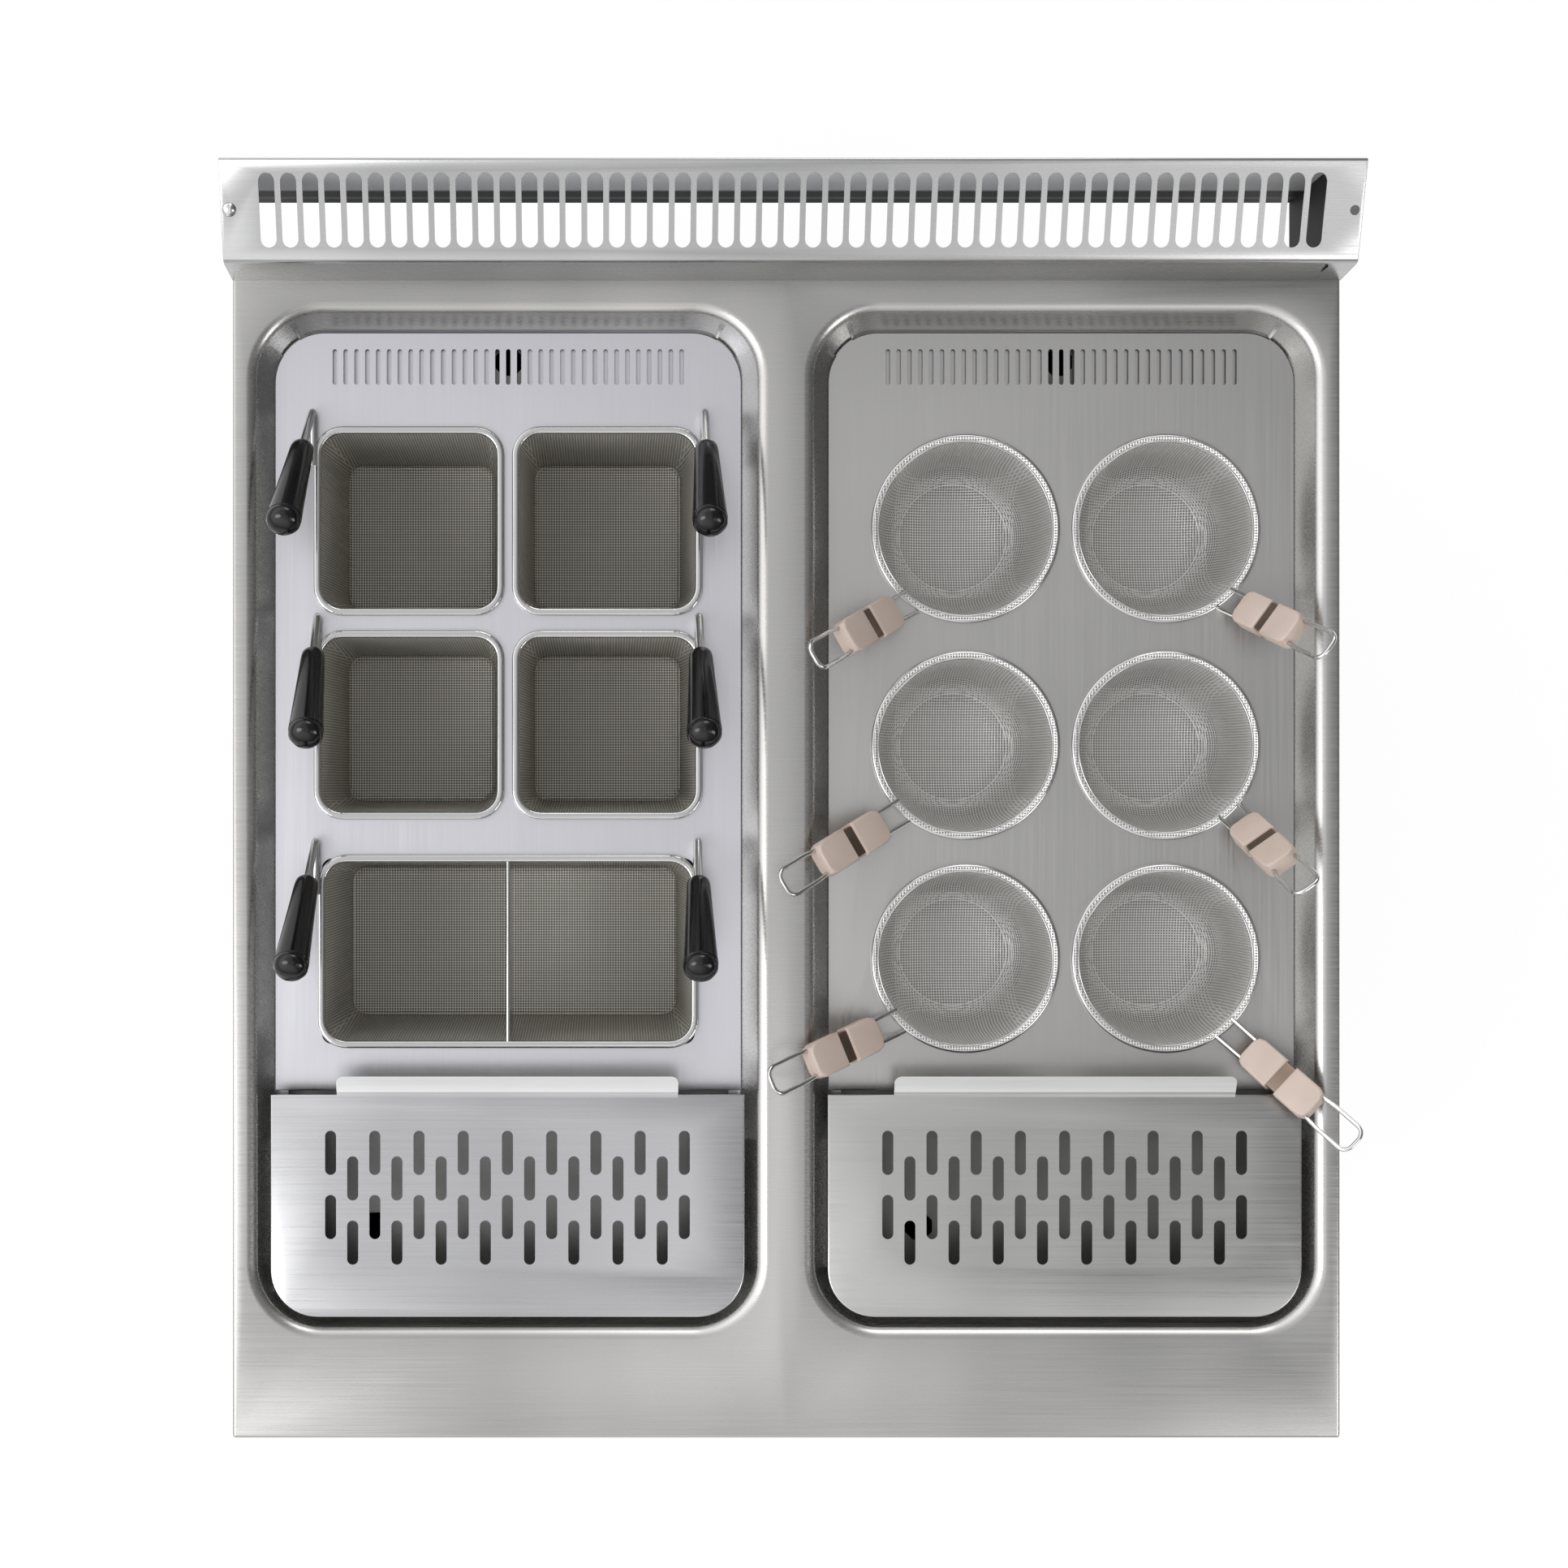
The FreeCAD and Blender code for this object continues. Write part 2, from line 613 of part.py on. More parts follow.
# Holder plates: flat lift-out sheets with vent slots, a front fold and openings for their baskets
def make_holder_plate(label, centre, cut_openings):
    plate = body(label)
    half = d.plate_width / 2
    rear = well_y1 - d.well_draft - d.plate_gap
    pad(plate, round_rectangle(sketch(plate, level=plate_z), -half, d.plate_front, half, rear, d.plate_corner,
                               3, front=False), d.plate_sheet, reverse=True)
    fold = rectangle(sketch(plate, level=plate_z), -half + d.ledge_width + 2, d.plate_front,
                     half - d.ledge_width - 2, d.plate_front + d.plate_sheet)
    pad(plate, fold, d.plate_fold, reverse=True)
    vents = sketch(plate, level=plate_z)
    x = d.vent_pitch * (d.vent_count - 1) / -2
    rectangle(vents, x - d.vent_width / 2, d.vent_y - d.vent_length / 2,
              x + d.vent_width / 2, d.vent_y + d.vent_length / 2)
    one = pocket(plate, vents, d.plate_sheet * 2)
    repeat(plate, [one], vents, "H_Axis", d.vent_pitch, d.vent_count)
    plate.Tip = cut_openings(plate)
    return keep(place(plate, x=centre), label)


def basket_openings(plate):
    sk = sketch(plate, level=plate_z)
    narrow = d.basket_rim * 2 - d.basket_play * 2
    half_x = (d.basket_width - narrow) / 2
    half_y = (d.basket_length - narrow) / 2
    for y in (d.basket_rear_y, d.basket_middle_y):
        for side in (-1, 1):
            x = d.basket_spacing / 2 * side
            round_rectangle(sk, x - half_x, y - half_y, x + half_x, y + half_y, d.basket_corner - 5)
    half_x = d.big_basket_width / 2 - d.basket_rim / 2
    half_y = d.big_basket_length / 2 - d.basket_rim / 2
    rectangle(sk, -half_x, d.basket_front_y - half_y, half_x, d.basket_front_y + half_y)
    return pocket(plate, sk, d.plate_sheet * 2)


def strainer_openings(plate):
    for y in (d.strainer_rear_y, d.strainer_middle_y, d.strainer_front_y):
        for side in (-1, 1):
            sk = many_sided(sketch(plate, level=plate_z), d.strainer_shift + d.strainer_spacing / 2 * side, y,
                            d.strainer_radius - d.strainer_wire * 2 + 1, 16)
            cut = pocket(plate, sk, d.plate_sheet * 2)
    return cut


# Drain plates: perforated sheets on bent legs, with a grip tab along the rear edge
def make_drain_plate(label, centre):
    plate = body(label)
    half = d.drain_width / 2
    rear = d.plate_front - d.drain_edge_gap
    front = rear - d.drain_length
    level = ledge_z + d.drain_rise
    pad(plate, round_rectangle(sketch(plate, level=level), -half, front, half, rear, d.drain_corner, 3,
                               rear=False), d.plate_sheet, reverse=True)
    legs = sketch(plate, level=level - d.plate_sheet)
    edge = d.well_width / 2 - opening_inset
    for side in (-1, 1):
        rectangle(legs, (edge + d.ledge_width / 2) * side, front + d.drain_corner,
                  (edge + d.ledge_width / 2 - d.plate_sheet) * side, rear - d.drain_corner)
    pad(plate, legs, d.drain_rise - d.plate_sheet, reverse=True)
    tab = sketch(plate, "YZ_Plane")
    wall = d.plate_sheet
    polygon(tab, ((rear - wall, level), (rear - wall, level - wall), (rear, level - wall),
                  (rear + d.tab_reach, level + d.tab_rise - wall / 2),
                  (rear + d.tab_reach - wall / 2, level + d.tab_rise + wall / 2)))
    tabbed = pad(plate, tab, d.tab_width, both=True)
    dress(plate, "Chamfer", tabbed, d.tab_reach / 4, lambda box, edge:
          box.ZMin > float(level) + 1 and box.XLength < 0.5
          and near(abs(box.XMin), d.tab_width / 2) and box.YMin > float(rear + d.tab_reach) - 2)
    for columns, offset, shift in ((d.drain_columns, 0, 0), (d.drain_columns - 1, d.drain_stagger, 1)):
        cut = sketch(plate, level=level)
        x = d.drain_pitch * (columns - 1) / -2
        for step in (0, 1):
            y = rear - d.drain_first_row - offset - d.drain_row_gap * step
            octagon(cut, x, y, d.drain_slot_width / 2, d.drain_slot_length / 2)
        one = pocket(plate, cut, d.plate_sheet * 1.5)
        repeat(plate, [one], cut, "H_Axis", d.drain_pitch, columns)
    return keep(place(plate, x=centre), label)


# Baskets: rim band, tapered mesh shell, bent handle rod and a tapered grip
def rod_points(side, reach, half_length, spread):
    """Handle rod in the basket's own frame: along the rim, round the bend, up into the grip."""
    lift = math.radians(float(d.grip_lift))
    turn = math.radians(spread)
    z = float(d.basket_rim_height) + float(d.rod_radius) * 0.6
    ahead = Vector(side * math.sin(turn), -math.cos(turn), 0)
    foot = Vector(side * reach, half_length - 29, z)
    corner = Vector(side * reach, half_length + float(d.rod_rear), z)
    slope = ahead * math.cos(lift) + Vector(0, 0, math.sin(lift))
    neck = corner + slope * float(d.rod_rise)
    return foot, corner, neck, slope


def make_basket(label, x, y, width, length, handles, divided=False):
    shell = body(label + "_shell")
    half_x = width / 2
    half_y = length / 2
    pad(shell, round_rectangle(sketch(shell), -half_x, -half_y, half_x, half_y, d.basket_corner),
        d.basket_rim_height)
    in_x = half_x - d.basket_rim
    in_y = half_y - d.basket_rim
    in_r = d.basket_corner - d.basket_rim

    def ring(level, inset):
        return round_rectangle(sketch(shell, level=level), inset - in_x, inset - in_y, in_x - inset,
                               in_y - inset, in_r - inset)

    loft(shell, "AdditiveLoft", ring(0, 0), ring(-d.basket_depth, d.basket_draft))
    last = loft(shell, "SubtractiveLoft", ring(d.basket_rim_height, d.basket_wall),
                ring(d.basket_wall - d.basket_depth, d.basket_wall + d.basket_draft))
    if divided:
        wall = d.divider_sheet / 2
        last = pad(shell, rectangle(sketch(shell, level=d.basket_rim_height), -wall, d.basket_draft / 2 - in_y,
                                    wall, in_y - d.basket_draft / 2),
                   d.basket_rim_height + d.basket_depth * 0.45, reverse=True)
    shell.Tip = last
    rods = []
    grips = []
    for number, (side, offset, spread) in enumerate(handles):
        reach = float(width) / 2 + offset
        foot, corner, neck, slope = rod_points(side, reach, float(length) / 2, spread)
        inner_end = neck + slope * 30
        rod = custom("%s_rod_%d" % (label, number),
                     bent_rod([foot, corner, inner_end], float(d.rod_bend), float(d.rod_radius)))
        rods.append(rod)
        grips.append(make_grip("%s_grip_%d" % (label, number), neck, slope, rod))
    basket = joined("Fuse", label, shell, *rods)
    keep(place(basket, x, y, plate_z), label)
    if len(grips) > 1:
        both = doc.addObject("Part::Compound", label + "_grips")
        both.Links = grips
        grip = both
    else:
        grip = grips[0]
    keep(place(grip, x, y, plate_z), label + "_grip")


def make_grip(label, neck, slope, rod):
    """A turned grip, narrow at the neck and domed at the end, bored for its rod."""
    length = d.grip_length
    blank = turned(label + "_blank", (
        (d.grip_neck, 0), (d.grip_neck + 1, length * 0.3), (d.grip_end - 1, length * 0.72),
        (d.grip_end, length - 8), (d.grip_end - 2, length - 2), (d.grip_end * 0.5, length)))
    place(blank, neck.x, neck.y, neck.z, Rotation(Vector(0, 0, 1), slope))
    return joined("Cut", label, blank, rod)


# Strainers: round rim, deep bowl, hairpin wire handle and a two-block clamp grip
def make_bowl():
    rim = d.strainer_radius
    wire = d.strainer_wire
    wall = d.basket_wall
    deep = d.strainer_depth
    outer = rim - wire * 2
    low = outer * 0.37
    band = turned("bowl_rim", ((rim - wire * 0.9, 0), (rim, wire * 0.5), (rim, wire * 1.5),
                               (rim - wire * 0.9, wire * 2)), 16)
    outside = turned("bowl_outside", ((low, -deep), (outer * 0.8, deep * -0.8), (outer - 3, deep * -0.5),
                                      (outer, wire)), 16)
    inside = turned("bowl_inside", ((low - wall, wall - deep), (outer * 0.8 - wall, wall - deep * 0.8),
                                    (outer - 3 - wall, deep * -0.5), (outer - wall, wire * 3)), 16)
    return joined("Cut", "bowl", joined("Fuse", "bowl_full", band, outside), inside)


def make_strainer(label, bowl, x, y, rim_turn, turn, lift):
    rise = math.radians(lift)
    ahead = Vector(math.cos(math.radians(turn)), math.sin(math.radians(turn)), 0)
    along = ahead * math.cos(rise) + Vector(0, 0, math.sin(rise))
    across = Vector(-ahead.y, ahead.x, 0)
    leave = math.radians(rim_turn)
    reach = float(d.strainer_radius - d.strainer_wire)
    start = Vector(math.cos(leave) * reach, math.sin(leave) * reach, float(d.strainer_wire * 2) - 0.5)
    far = float(d.handle_length)
    grip_end = float(d.clamp_centre + d.clamp_length / 2)
    plan = ((-2, 8.6), (grip_end - 10, 7.6), (grip_end + 6, 10.4), (far, 10.4),
            (far, -10.4), (grip_end + 6, -10.4), (grip_end - 10, -7.6), (-2, -8.6))
    points = [start + along * p + across * q for p, q in plan]
    wires = custom(label + "_wire", bent_rod(points, 6, float(d.handle_wire)))
    keep(place(joined("Fuse", label, bowl, wires), x, y, plate_z), label)

    block = body(label + "_block")
    half = d.clamp_length / 2
    side = d.clamp_width / 2
    notch = d.clamp_height / 3
    outline = []
    quarter = ((notch, side - notch * 0.6), (notch, side), (half - notch, side), (half, side - notch))
    for sx, sy, order in ((1, 1, 1), (1, -1, -1), (-1, -1, 1), (-1, 1, -1)):
        outline += [(px * sx, py * sy) for px, py in quarter[::order]]
    pad(block, polygon(sketch(block), outline), d.clamp_height, both=True)
    middle = start + along * float(d.clamp_centre)
    place(block, middle.x, middle.y, middle.z, Rotation(along, across, along.cross(across), "XYZ"))
    grip = joined("Cut", label + "_grip", block, wires)
    keep(place(grip, x, y, plate_z), label + "_grip")


# Cabinet: side panels, back panel, base tray, front frame, legs and adjustable feet
def make_side_panel(label, side):
    panel = body(label)
    fold = 20
    outline = polygon(sketch(panel, "YZ_Plane"), (
        (d.cabinet_front, d.cabinet_bottom), (junction_y, d.cabinet_bottom), (junction_y, apron_z),
        (d.panel_top_y, apron_z),
        (d.panel_bottom_y, d.panel_bottom), (d.cabinet_front, d.frame_top)))
    pad(panel, outline, fold, reverse=side > 0)
    wall = d.casing_sheet
    inner = rectangle(sketch(panel, "YZ_Plane", wall * -side), d.panel_bottom_y - 9,
                      d.cabinet_bottom + wall, junction_y - wall, apron_z + 9)
    pocket(panel, inner, fold, reverse=side < 0)
    return keep(place(panel, x=half_width * side), label)


def make_back_panel():
    panel = body("back_panel")
    wall = d.casing_sheet
    outer = junction_y - d.top_sheet
    half = half_width - d.top_sheet
    blank = pad(panel, rectangle(sketch(panel, "XZ_Plane", -outer), -half, base_top, half,
                                 top_z - d.top_sheet * 1.25), 15)
    hollow(panel, blank, wall, lambda box, face: flat_at(box.YMin, box.YMax, outer - 15))
    louvre = sketch(panel, "XZ_Plane", -outer + wall * 2)
    for side in (-1, 1):
        x = d.well_centre * side - 72
        rectangle(louvre, x - 4, base_top + 195, x + 4, base_top + 285)
    one = pocket(panel, louvre, wall * 4)
    repeat(panel, [one], louvre, "H_Axis", 24, 7)
    holes = sketch(panel, "XZ_Plane", -outer + wall * 2)
    many_sided(holes, 0, d.manifold_z, d.outlet_tube_radius + 0.5, 12)
    many_sided(holes, d.inlet_x, d.feed_z, d.pipe_radius + 1)
    many_sided(holes, -d.well_centre, d.manifold_z, d.gland_radius + 4, 12)
    panel.Tip = pocket(panel, holes, wall * 4)
    return keep(panel, "back_panel")


def make_base_tray():
    tray = body("base_tray")
    blank = pad(tray, rectangle(sketch(tray, level=base_top), -side_inner, d.cabinet_front,
                                side_inner, junction_y - d.top_sheet), d.base_height, reverse=True)
    hollow(tray, blank, d.casing_sheet, lambda box, face: flat_at(box.ZMin, box.ZMax, base_z))
    return keep(tray, "base_tray")


def make_front_frame():
    frame = body("front_frame")
    blank = pad(frame, rectangle(sketch(frame, "XZ_Plane", -d.cabinet_front), -side_inner, base_top,
                                 side_inner, d.frame_top), d.frame_depth, reverse=True)
    hole = sketch(frame, "XZ_Plane", -d.cabinet_front)
    post = d.frame_post
    for side in (-1, 1):
        rectangle(hole, post * 0.6 * side, base_top + post / 2, (side_inner - post) * side, d.frame_top - post)
    opened = pocket(frame, hole, d.frame_depth)
    hollow(frame, opened, d.casing_sheet, lambda box, face:
           flat_at(box.YMin, box.YMax, d.cabinet_front + d.frame_depth))
    return keep(frame, "front_frame")


def make_legs():
    legs = body("leg_tubes")
    plate = sketch(legs, level=base_top - d.casing_sheet)
    tube = sketch(legs, level=base_top - d.casing_sheet)
    bore = sketch(legs, level=d.foot_shoulder)
    for x in (-d.foot_x, d.foot_x):
        for y in (d.foot_front_y, d.foot_rear_y):
            rectangle(plate, x - 36, y - 36, x + 36, y + 36)
            many_sided(tube, x, y, d.leg_radius)
            many_sided(bore, x, y, d.stem_radius + 0.35)
    pad(legs, plate, 3, reverse=True)
    pad(legs, tube, base_top - d.casing_sheet - d.foot_shoulder, reverse=True)
    pocket(legs, bore, base_top - d.foot_shoulder - 10, reverse=True)
    return keep(legs, "leg_tubes")


def make_foot(label, x, y):
    high = d.foot_shoulder
    base = turned(label + "_base", (
        (29, 0), (31, 3), (31, 8), (d.stem_radius, 20), (d.stem_radius, high - 9),
        (d.leg_radius - 1, high - 6), (d.leg_radius - 1, high)), 8)
    stem = prism(label + "_stem", d.stem_radius, high * 2 + 5, z=high - 5)
    return keep(place(joined("Fuse", label, base, stem), x, y), label)


# Control panel and what it carries, drawn flat and then leaned back into place
def panel_turn():
    run = float(d.panel_top_y - d.panel_bottom_y)
    rise = float(apron_z - d.panel_bottom)
    return Rotation(Vector(1, 0, 0), math.degrees(math.atan2(rise, run)))


def on_panel(obj, x=0, out=0):
    spin = panel_turn()
    normal = spin.multVec(Vector(0, 0, 1))
    base = Vector(float(x), float(panel_y), float(panel_z)) + normal * out
    place(obj, base.x, base.y, base.z, spin)
    if isinstance(x, Size):
        obj.setExpression("Placement.Base.x", x.text)
    return obj


heat_x = (-d.well_centre - d.knob_offset, d.well_centre - d.knob_offset)
fill_x = (-d.well_centre + d.knob_offset, d.well_centre + d.knob_offset)


def make_control_panel():
    panel = body("control_panel")
    rise = float(apron_z - d.panel_bottom)
    run = float(d.panel_top_y - d.panel_bottom_y)
    high = Size(math.hypot(rise, run), "sqrt(pow(" + (apron_z - d.panel_bottom).text + "; 2) + pow("
                + (d.panel_top_y - d.panel_bottom_y).text + "; 2))")
    blank = pad(panel, rectangle(sketch(panel), -side_inner, high / -2 + 0.5, side_inner, high / 2 - 0.5),
                d.panel_tray, reverse=True)
    edges = dress(panel, "Fillet", blank, d.casing_sheet * 1.4, lambda box, edge:
                  box.XLength > 100 and flat_at(box.ZMin, box.ZMax, 0))
    hollow(panel, edges, d.casing_sheet, lambda box, face: flat_at(box.ZMin, box.ZMax, -float(d.panel_tray)))
    spindles = sketch(panel)
    for x in heat_x + fill_x:
        many_sided(spindles, x, 0, d.spindle_radius + 2)
    pocket(panel, spindles, d.casing_sheet * 2)
    lights = sketch(panel)
    for x in (-d.well_centre, d.well_centre):
        for side in (-1, 1):
            many_sided(lights, x + 11 * side, 14, 4)
    pocket(panel, lights, d.casing_sheet * 2)
    return keep(on_panel(panel), "control_panel")


def make_knob(label, x):
    radius = d.knob_radius
    tall = d.knob_height
    spindle = primitive("Cylinder", label + "_spindle", {"Radius": d.spindle_radius, "Height": 36}, z=-30)
    skirt = turned(label + "_skirt", ((radius, 0), (radius, 4), (radius - 2, 6), (radius * 0.78, 6.5),
                                      (radius * 0.7, tall - 2), (radius * 0.62, tall)))
    cuts = []
    for side, at in (("left", -radius), ("right", radius * 0.34)):
        cuts.append(primitive("Box", label + "_flat_" + side, {"Length": radius * 0.66, "Width": radius * 2,
                                                               "Height": tall}, at, -radius, 9))
    cuts.append(primitive("Box", label + "_mark", {"Length": 2, "Width": radius, "Height": 3},
                          -1, radius * 0.2, tall - 1.2))
    grip = joined("Cut", label + "_grip", skirt, joined("Fuse", label + "_cuts", *cuts))
    return keep(on_panel(joined("Fuse", label, grip, spindle), x, 0.6), label)


def make_lamps():
    lamps = body("pilot_lamps")
    dome = sketch(lamps)
    stem = sketch(lamps)
    for x in (-d.well_centre, d.well_centre):
        for side in (-1, 1):
            many_sided(dome, x + 11 * side, 14, 6)
            many_sided(stem, x + 11 * side, 14, 3.6)
    pad(lamps, stem, 12, reverse=True)
    domed = pad(lamps, dome, 4)
    dress(lamps, "Chamfer", domed, 1.6, lambda box, edge: flat_at(box.ZMin, box.ZMax, 4))
    return keep(on_panel(lamps), "pilot_lamps")


def make_switches():
    switches = body("heat_switches")
    block = sketch(switches, level=-d.casing_sheet)
    collar = sketch(switches, level=-d.casing_sheet - 26)
    bore = sketch(switches, level=-d.casing_sheet)
    for x in heat_x:
        rectangle(block, x - 21, -21, x + 21, 21)
        rectangle(collar, x - 14, -14, x - 8, 14)
        rectangle(collar, x + 8, -14, x + 14, 14)
        circle(bore, x, 0, d.spindle_radius + d.running_gap)
    pad(switches, block, 32, reverse=True)
    pad(switches, collar, 12, reverse=True)
    pocket(switches, bore, 32)
    return keep(on_panel(switches), "heat_switches")


# Doors: folded trays on pin hinges, each with a bent pull along its top
def make_door(label, side):
    door = body(label)
    back = d.cabinet_front - d.door_gap
    face = back - d.door_thickness
    outer = (half_width - d.door_side_gap) * side
    inner = d.door_side_gap * 0.75 * side
    blank = pad(door, rectangle(sketch(door, "XZ_Plane", -face), inner, d.door_bottom, outer, d.door_top),
                d.door_thickness, reverse=True)
    rounded = dress(door, "Chamfer", blank, d.casing_sheet, lambda box, edge:
                    flat_at(box.YMin, box.YMax, face))
    hollow(door, rounded, d.casing_sheet, lambda box, shape: flat_at(box.YMin, box.YMax, back))
    pull = sketch(door, "YZ_Plane", inner + 25 * side)
    top = d.door_top - 3
    wall = d.casing_sheet + 0.5
    polygon(pull, ((face + 1, top), (face - d.pull_reach, top), (face - d.pull_reach, top - 18),
                   (face - d.pull_reach + wall, top - 18), (face - d.pull_reach + wall, top - wall),
                   (face + 1, top - wall)))
    pad(door, pull, half_width - 50, reverse=side < 0)
    bores = sketch(door, level=d.door_top)
    circle(bores, (half_width - d.hinge_inset) * side, back - d.door_thickness / 2,
           d.spindle_radius + d.running_gap)
    door.Tip = pocket(door, bores, d.door_top - d.door_bottom)
    return keep(door, label)


def make_hinges():
    hinges = body("door_hinges")
    back = d.cabinet_front - d.door_gap
    axis_y = back - d.door_thickness / 2
    wall = 3
    for level, away in ((d.door_bottom - 1, True), (d.door_top + 1, False)):
        plates = sketch(hinges, level=level)
        pins = sketch(hinges, level=level)
        for side in (-1, 1):
            rectangle(plates, (half_width - 2) * side, axis_y - 7, (half_width - 26) * side, d.cabinet_front)
            circle(pins, (half_width - d.hinge_inset) * side, axis_y, d.spindle_radius)
        pad(hinges, plates, wall, reverse=away)
        pad(hinges, pins, 12, reverse=not away)
    return keep(hinges, "door_hinges")


# Heating element: three loops on a flange at the rear of the tank
def make_heater(label, centre):
    reach = float(d.heater_reach)
    rear = float(d.tank_rear + d.casing_sheet)
    z = float(d.heater_z)
    near_y = float(d.outlet_y) + 30
    far_y = rear - 70
    inner = reach / 3
    points = [Vector(x, y, z) for x, y in (
        (-reach, rear + 24), (-reach, near_y), (-inner, near_y), (-inner, far_y),
        (inner, far_y), (inner, near_y), (reach, near_y), (reach, rear + 24))]
    loops = custom(label + "_loops", bent_rod(points, 16, float(d.heater_radius)))
    flange = primitive("Box", label + "_flange", {"Length": d.heater_reach * 2 + 40, "Width": 3, "Height": 36},
                       -d.heater_reach - 20, d.tank_rear + d.casing_sheet, d.heater_z - 18)
    return keep(place(joined("Fuse", label, loops, flange), x=centre), label)


# Drain: pipe with a valve from each tank, levers, and one manifold with the overflow pipes
def tube(label, radius, length, x, y, z, turn=None):
    return primitive("Cylinder", label, {"Radius": radius, "Height": length}, x, y, z, turn)


def along_y():
    return Rotation(Vector(1, 0, 0), -90)


def make_drain_pipe(label, centre):
    wall = float(d.pipe_wall) * 2
    radius = float(d.waste_radius)
    start = float(top_z - d.tank_depth - d.casing_sheet)
    z = float(d.branch_z)
    y0 = float(d.outlet_y)
    y1 = float(d.trough_drain_y)
    low = float(d.manifold_z) + 40
    route = [Vector(0, y0, start), Vector(0, y0, z), Vector(0, y1, z), Vector(0, y1, low)]
    outer = custom(label + "_outer", bent_rod(route, 30, radius, 8))
    route[0] = route[0] + Vector(0, 0, 5)
    route[-1] = route[-1] - Vector(0, 0, 5)
    inner = custom(label + "_inner", bent_rod(route, 30, radius - wall, 8))
    valve = primitive("Box", label + "_valve", {"Length": 44, "Width": 56, "Height": 44},
                      -22, d.valve_y - 28, d.branch_z - 22)
    bonnet = prism(label + "_bonnet", 13, 34, 0, d.valve_y, d.branch_z)
    whole = joined("Fuse", label + "_whole", outer, valve, bonnet)
    bored = joined("Cut", label + "_bored", whole, inner)
    stem = tube(label + "_stem_bore", d.spindle_radius + d.running_gap, 20, 0, d.valve_y, d.branch_z + 18)
    main = joined("Cut", label + "_main", bored, stem)
    trough_z = top_z - d.trough_depth - d.casing_sheet
    high = trough_z - d.manifold_z - 40
    trough_outer = prism(label + "_trough_outer", d.overflow_radius + 2, high, d.trough_drain_x,
                         d.trough_drain_y, d.manifold_z + 40)
    trough_inner = prism(label + "_trough_inner", d.overflow_radius, high, d.trough_drain_x,
                         d.trough_drain_y, d.manifold_z + 40)
    side_pipe = joined("Cut", label + "_side", trough_outer, trough_inner)
    both = doc.addObject("Part::Compound", label)
    both.Links = [main, side_pipe]
    return keep(place(both, x=centre), label)


def make_lever(label, centre):
    lever = body(label)
    pad(lever, circle(sketch(lever), 0, 0, d.spindle_radius), 22)
    grip = sketch(lever, level=16)
    polygon(grip, ((-9, -7), (22, -7), (34, -5), (d.lever_length - 3, -8), (d.lever_length, -5),
                   (d.lever_length, 5), (d.lever_length - 3, 8), (34, 5), (22, 7), (-9, 7)))
    pad(lever, grip, 4)
    return keep(place(lever, centre, d.valve_y, d.branch_z + 19), label)


def make_manifold():
    z = d.manifold_z
    xs = [centre + shift for centre in (-d.well_centre, d.well_centre) for shift in (0, d.trough_drain_x)]
    left = min(xs, key=float)
    right = max(xs, key=float)
    flat = Rotation(Vector(0, 1, 0), 90)
    shelf = top_z - d.pan_depth - d.casing_sheet
    spigot_y = d.outlet_tube_end - d.outlet_spigot
    sets = []
    for name, thin, more in (("outer", 0, 0), ("inner", 2, 1)):
        parts = [
            prism("trunk_" + name, d.outlet_tube_radius - 1 - thin, d.outlet_tube_end - d.trough_drain_y - 2 + more * 3,
                  0, d.trough_drain_y, z, along_y()),
            prism("cross_" + name, d.manifold_radius - thin, right - left, left, d.trough_drain_y, z, flat),
            prism("rear_cross_" + name, d.manifold_radius - thin, d.well_centre * 2, -d.well_centre,
                  d.overflow_y, z, flat)]
        for number, x in enumerate(xs):
            wide = d.waste_radius if number % 2 == 0 else d.overflow_radius + 2
            parts.append(prism("stub_%s_%d" % (name, number), wide - thin, more + 40, x, d.trough_drain_y, z))
        for side in (-1, 1):
            parts.append(prism("overflow_%s_%d" % (name, side), d.overflow_radius + 2 - thin,
                               shelf - z + more, d.well_centre * side, d.overflow_y, z))
        if name == "outer":
            parts.append(tube("spigot", d.outlet_tube_radius, d.outlet_spigot, 0, spigot_y, z, along_y()))
        sets.append(joined("Fuse", "manifold_" + name, *parts))
    return keep(joined("Cut", "drain_manifold", *sets), "drain_manifold")


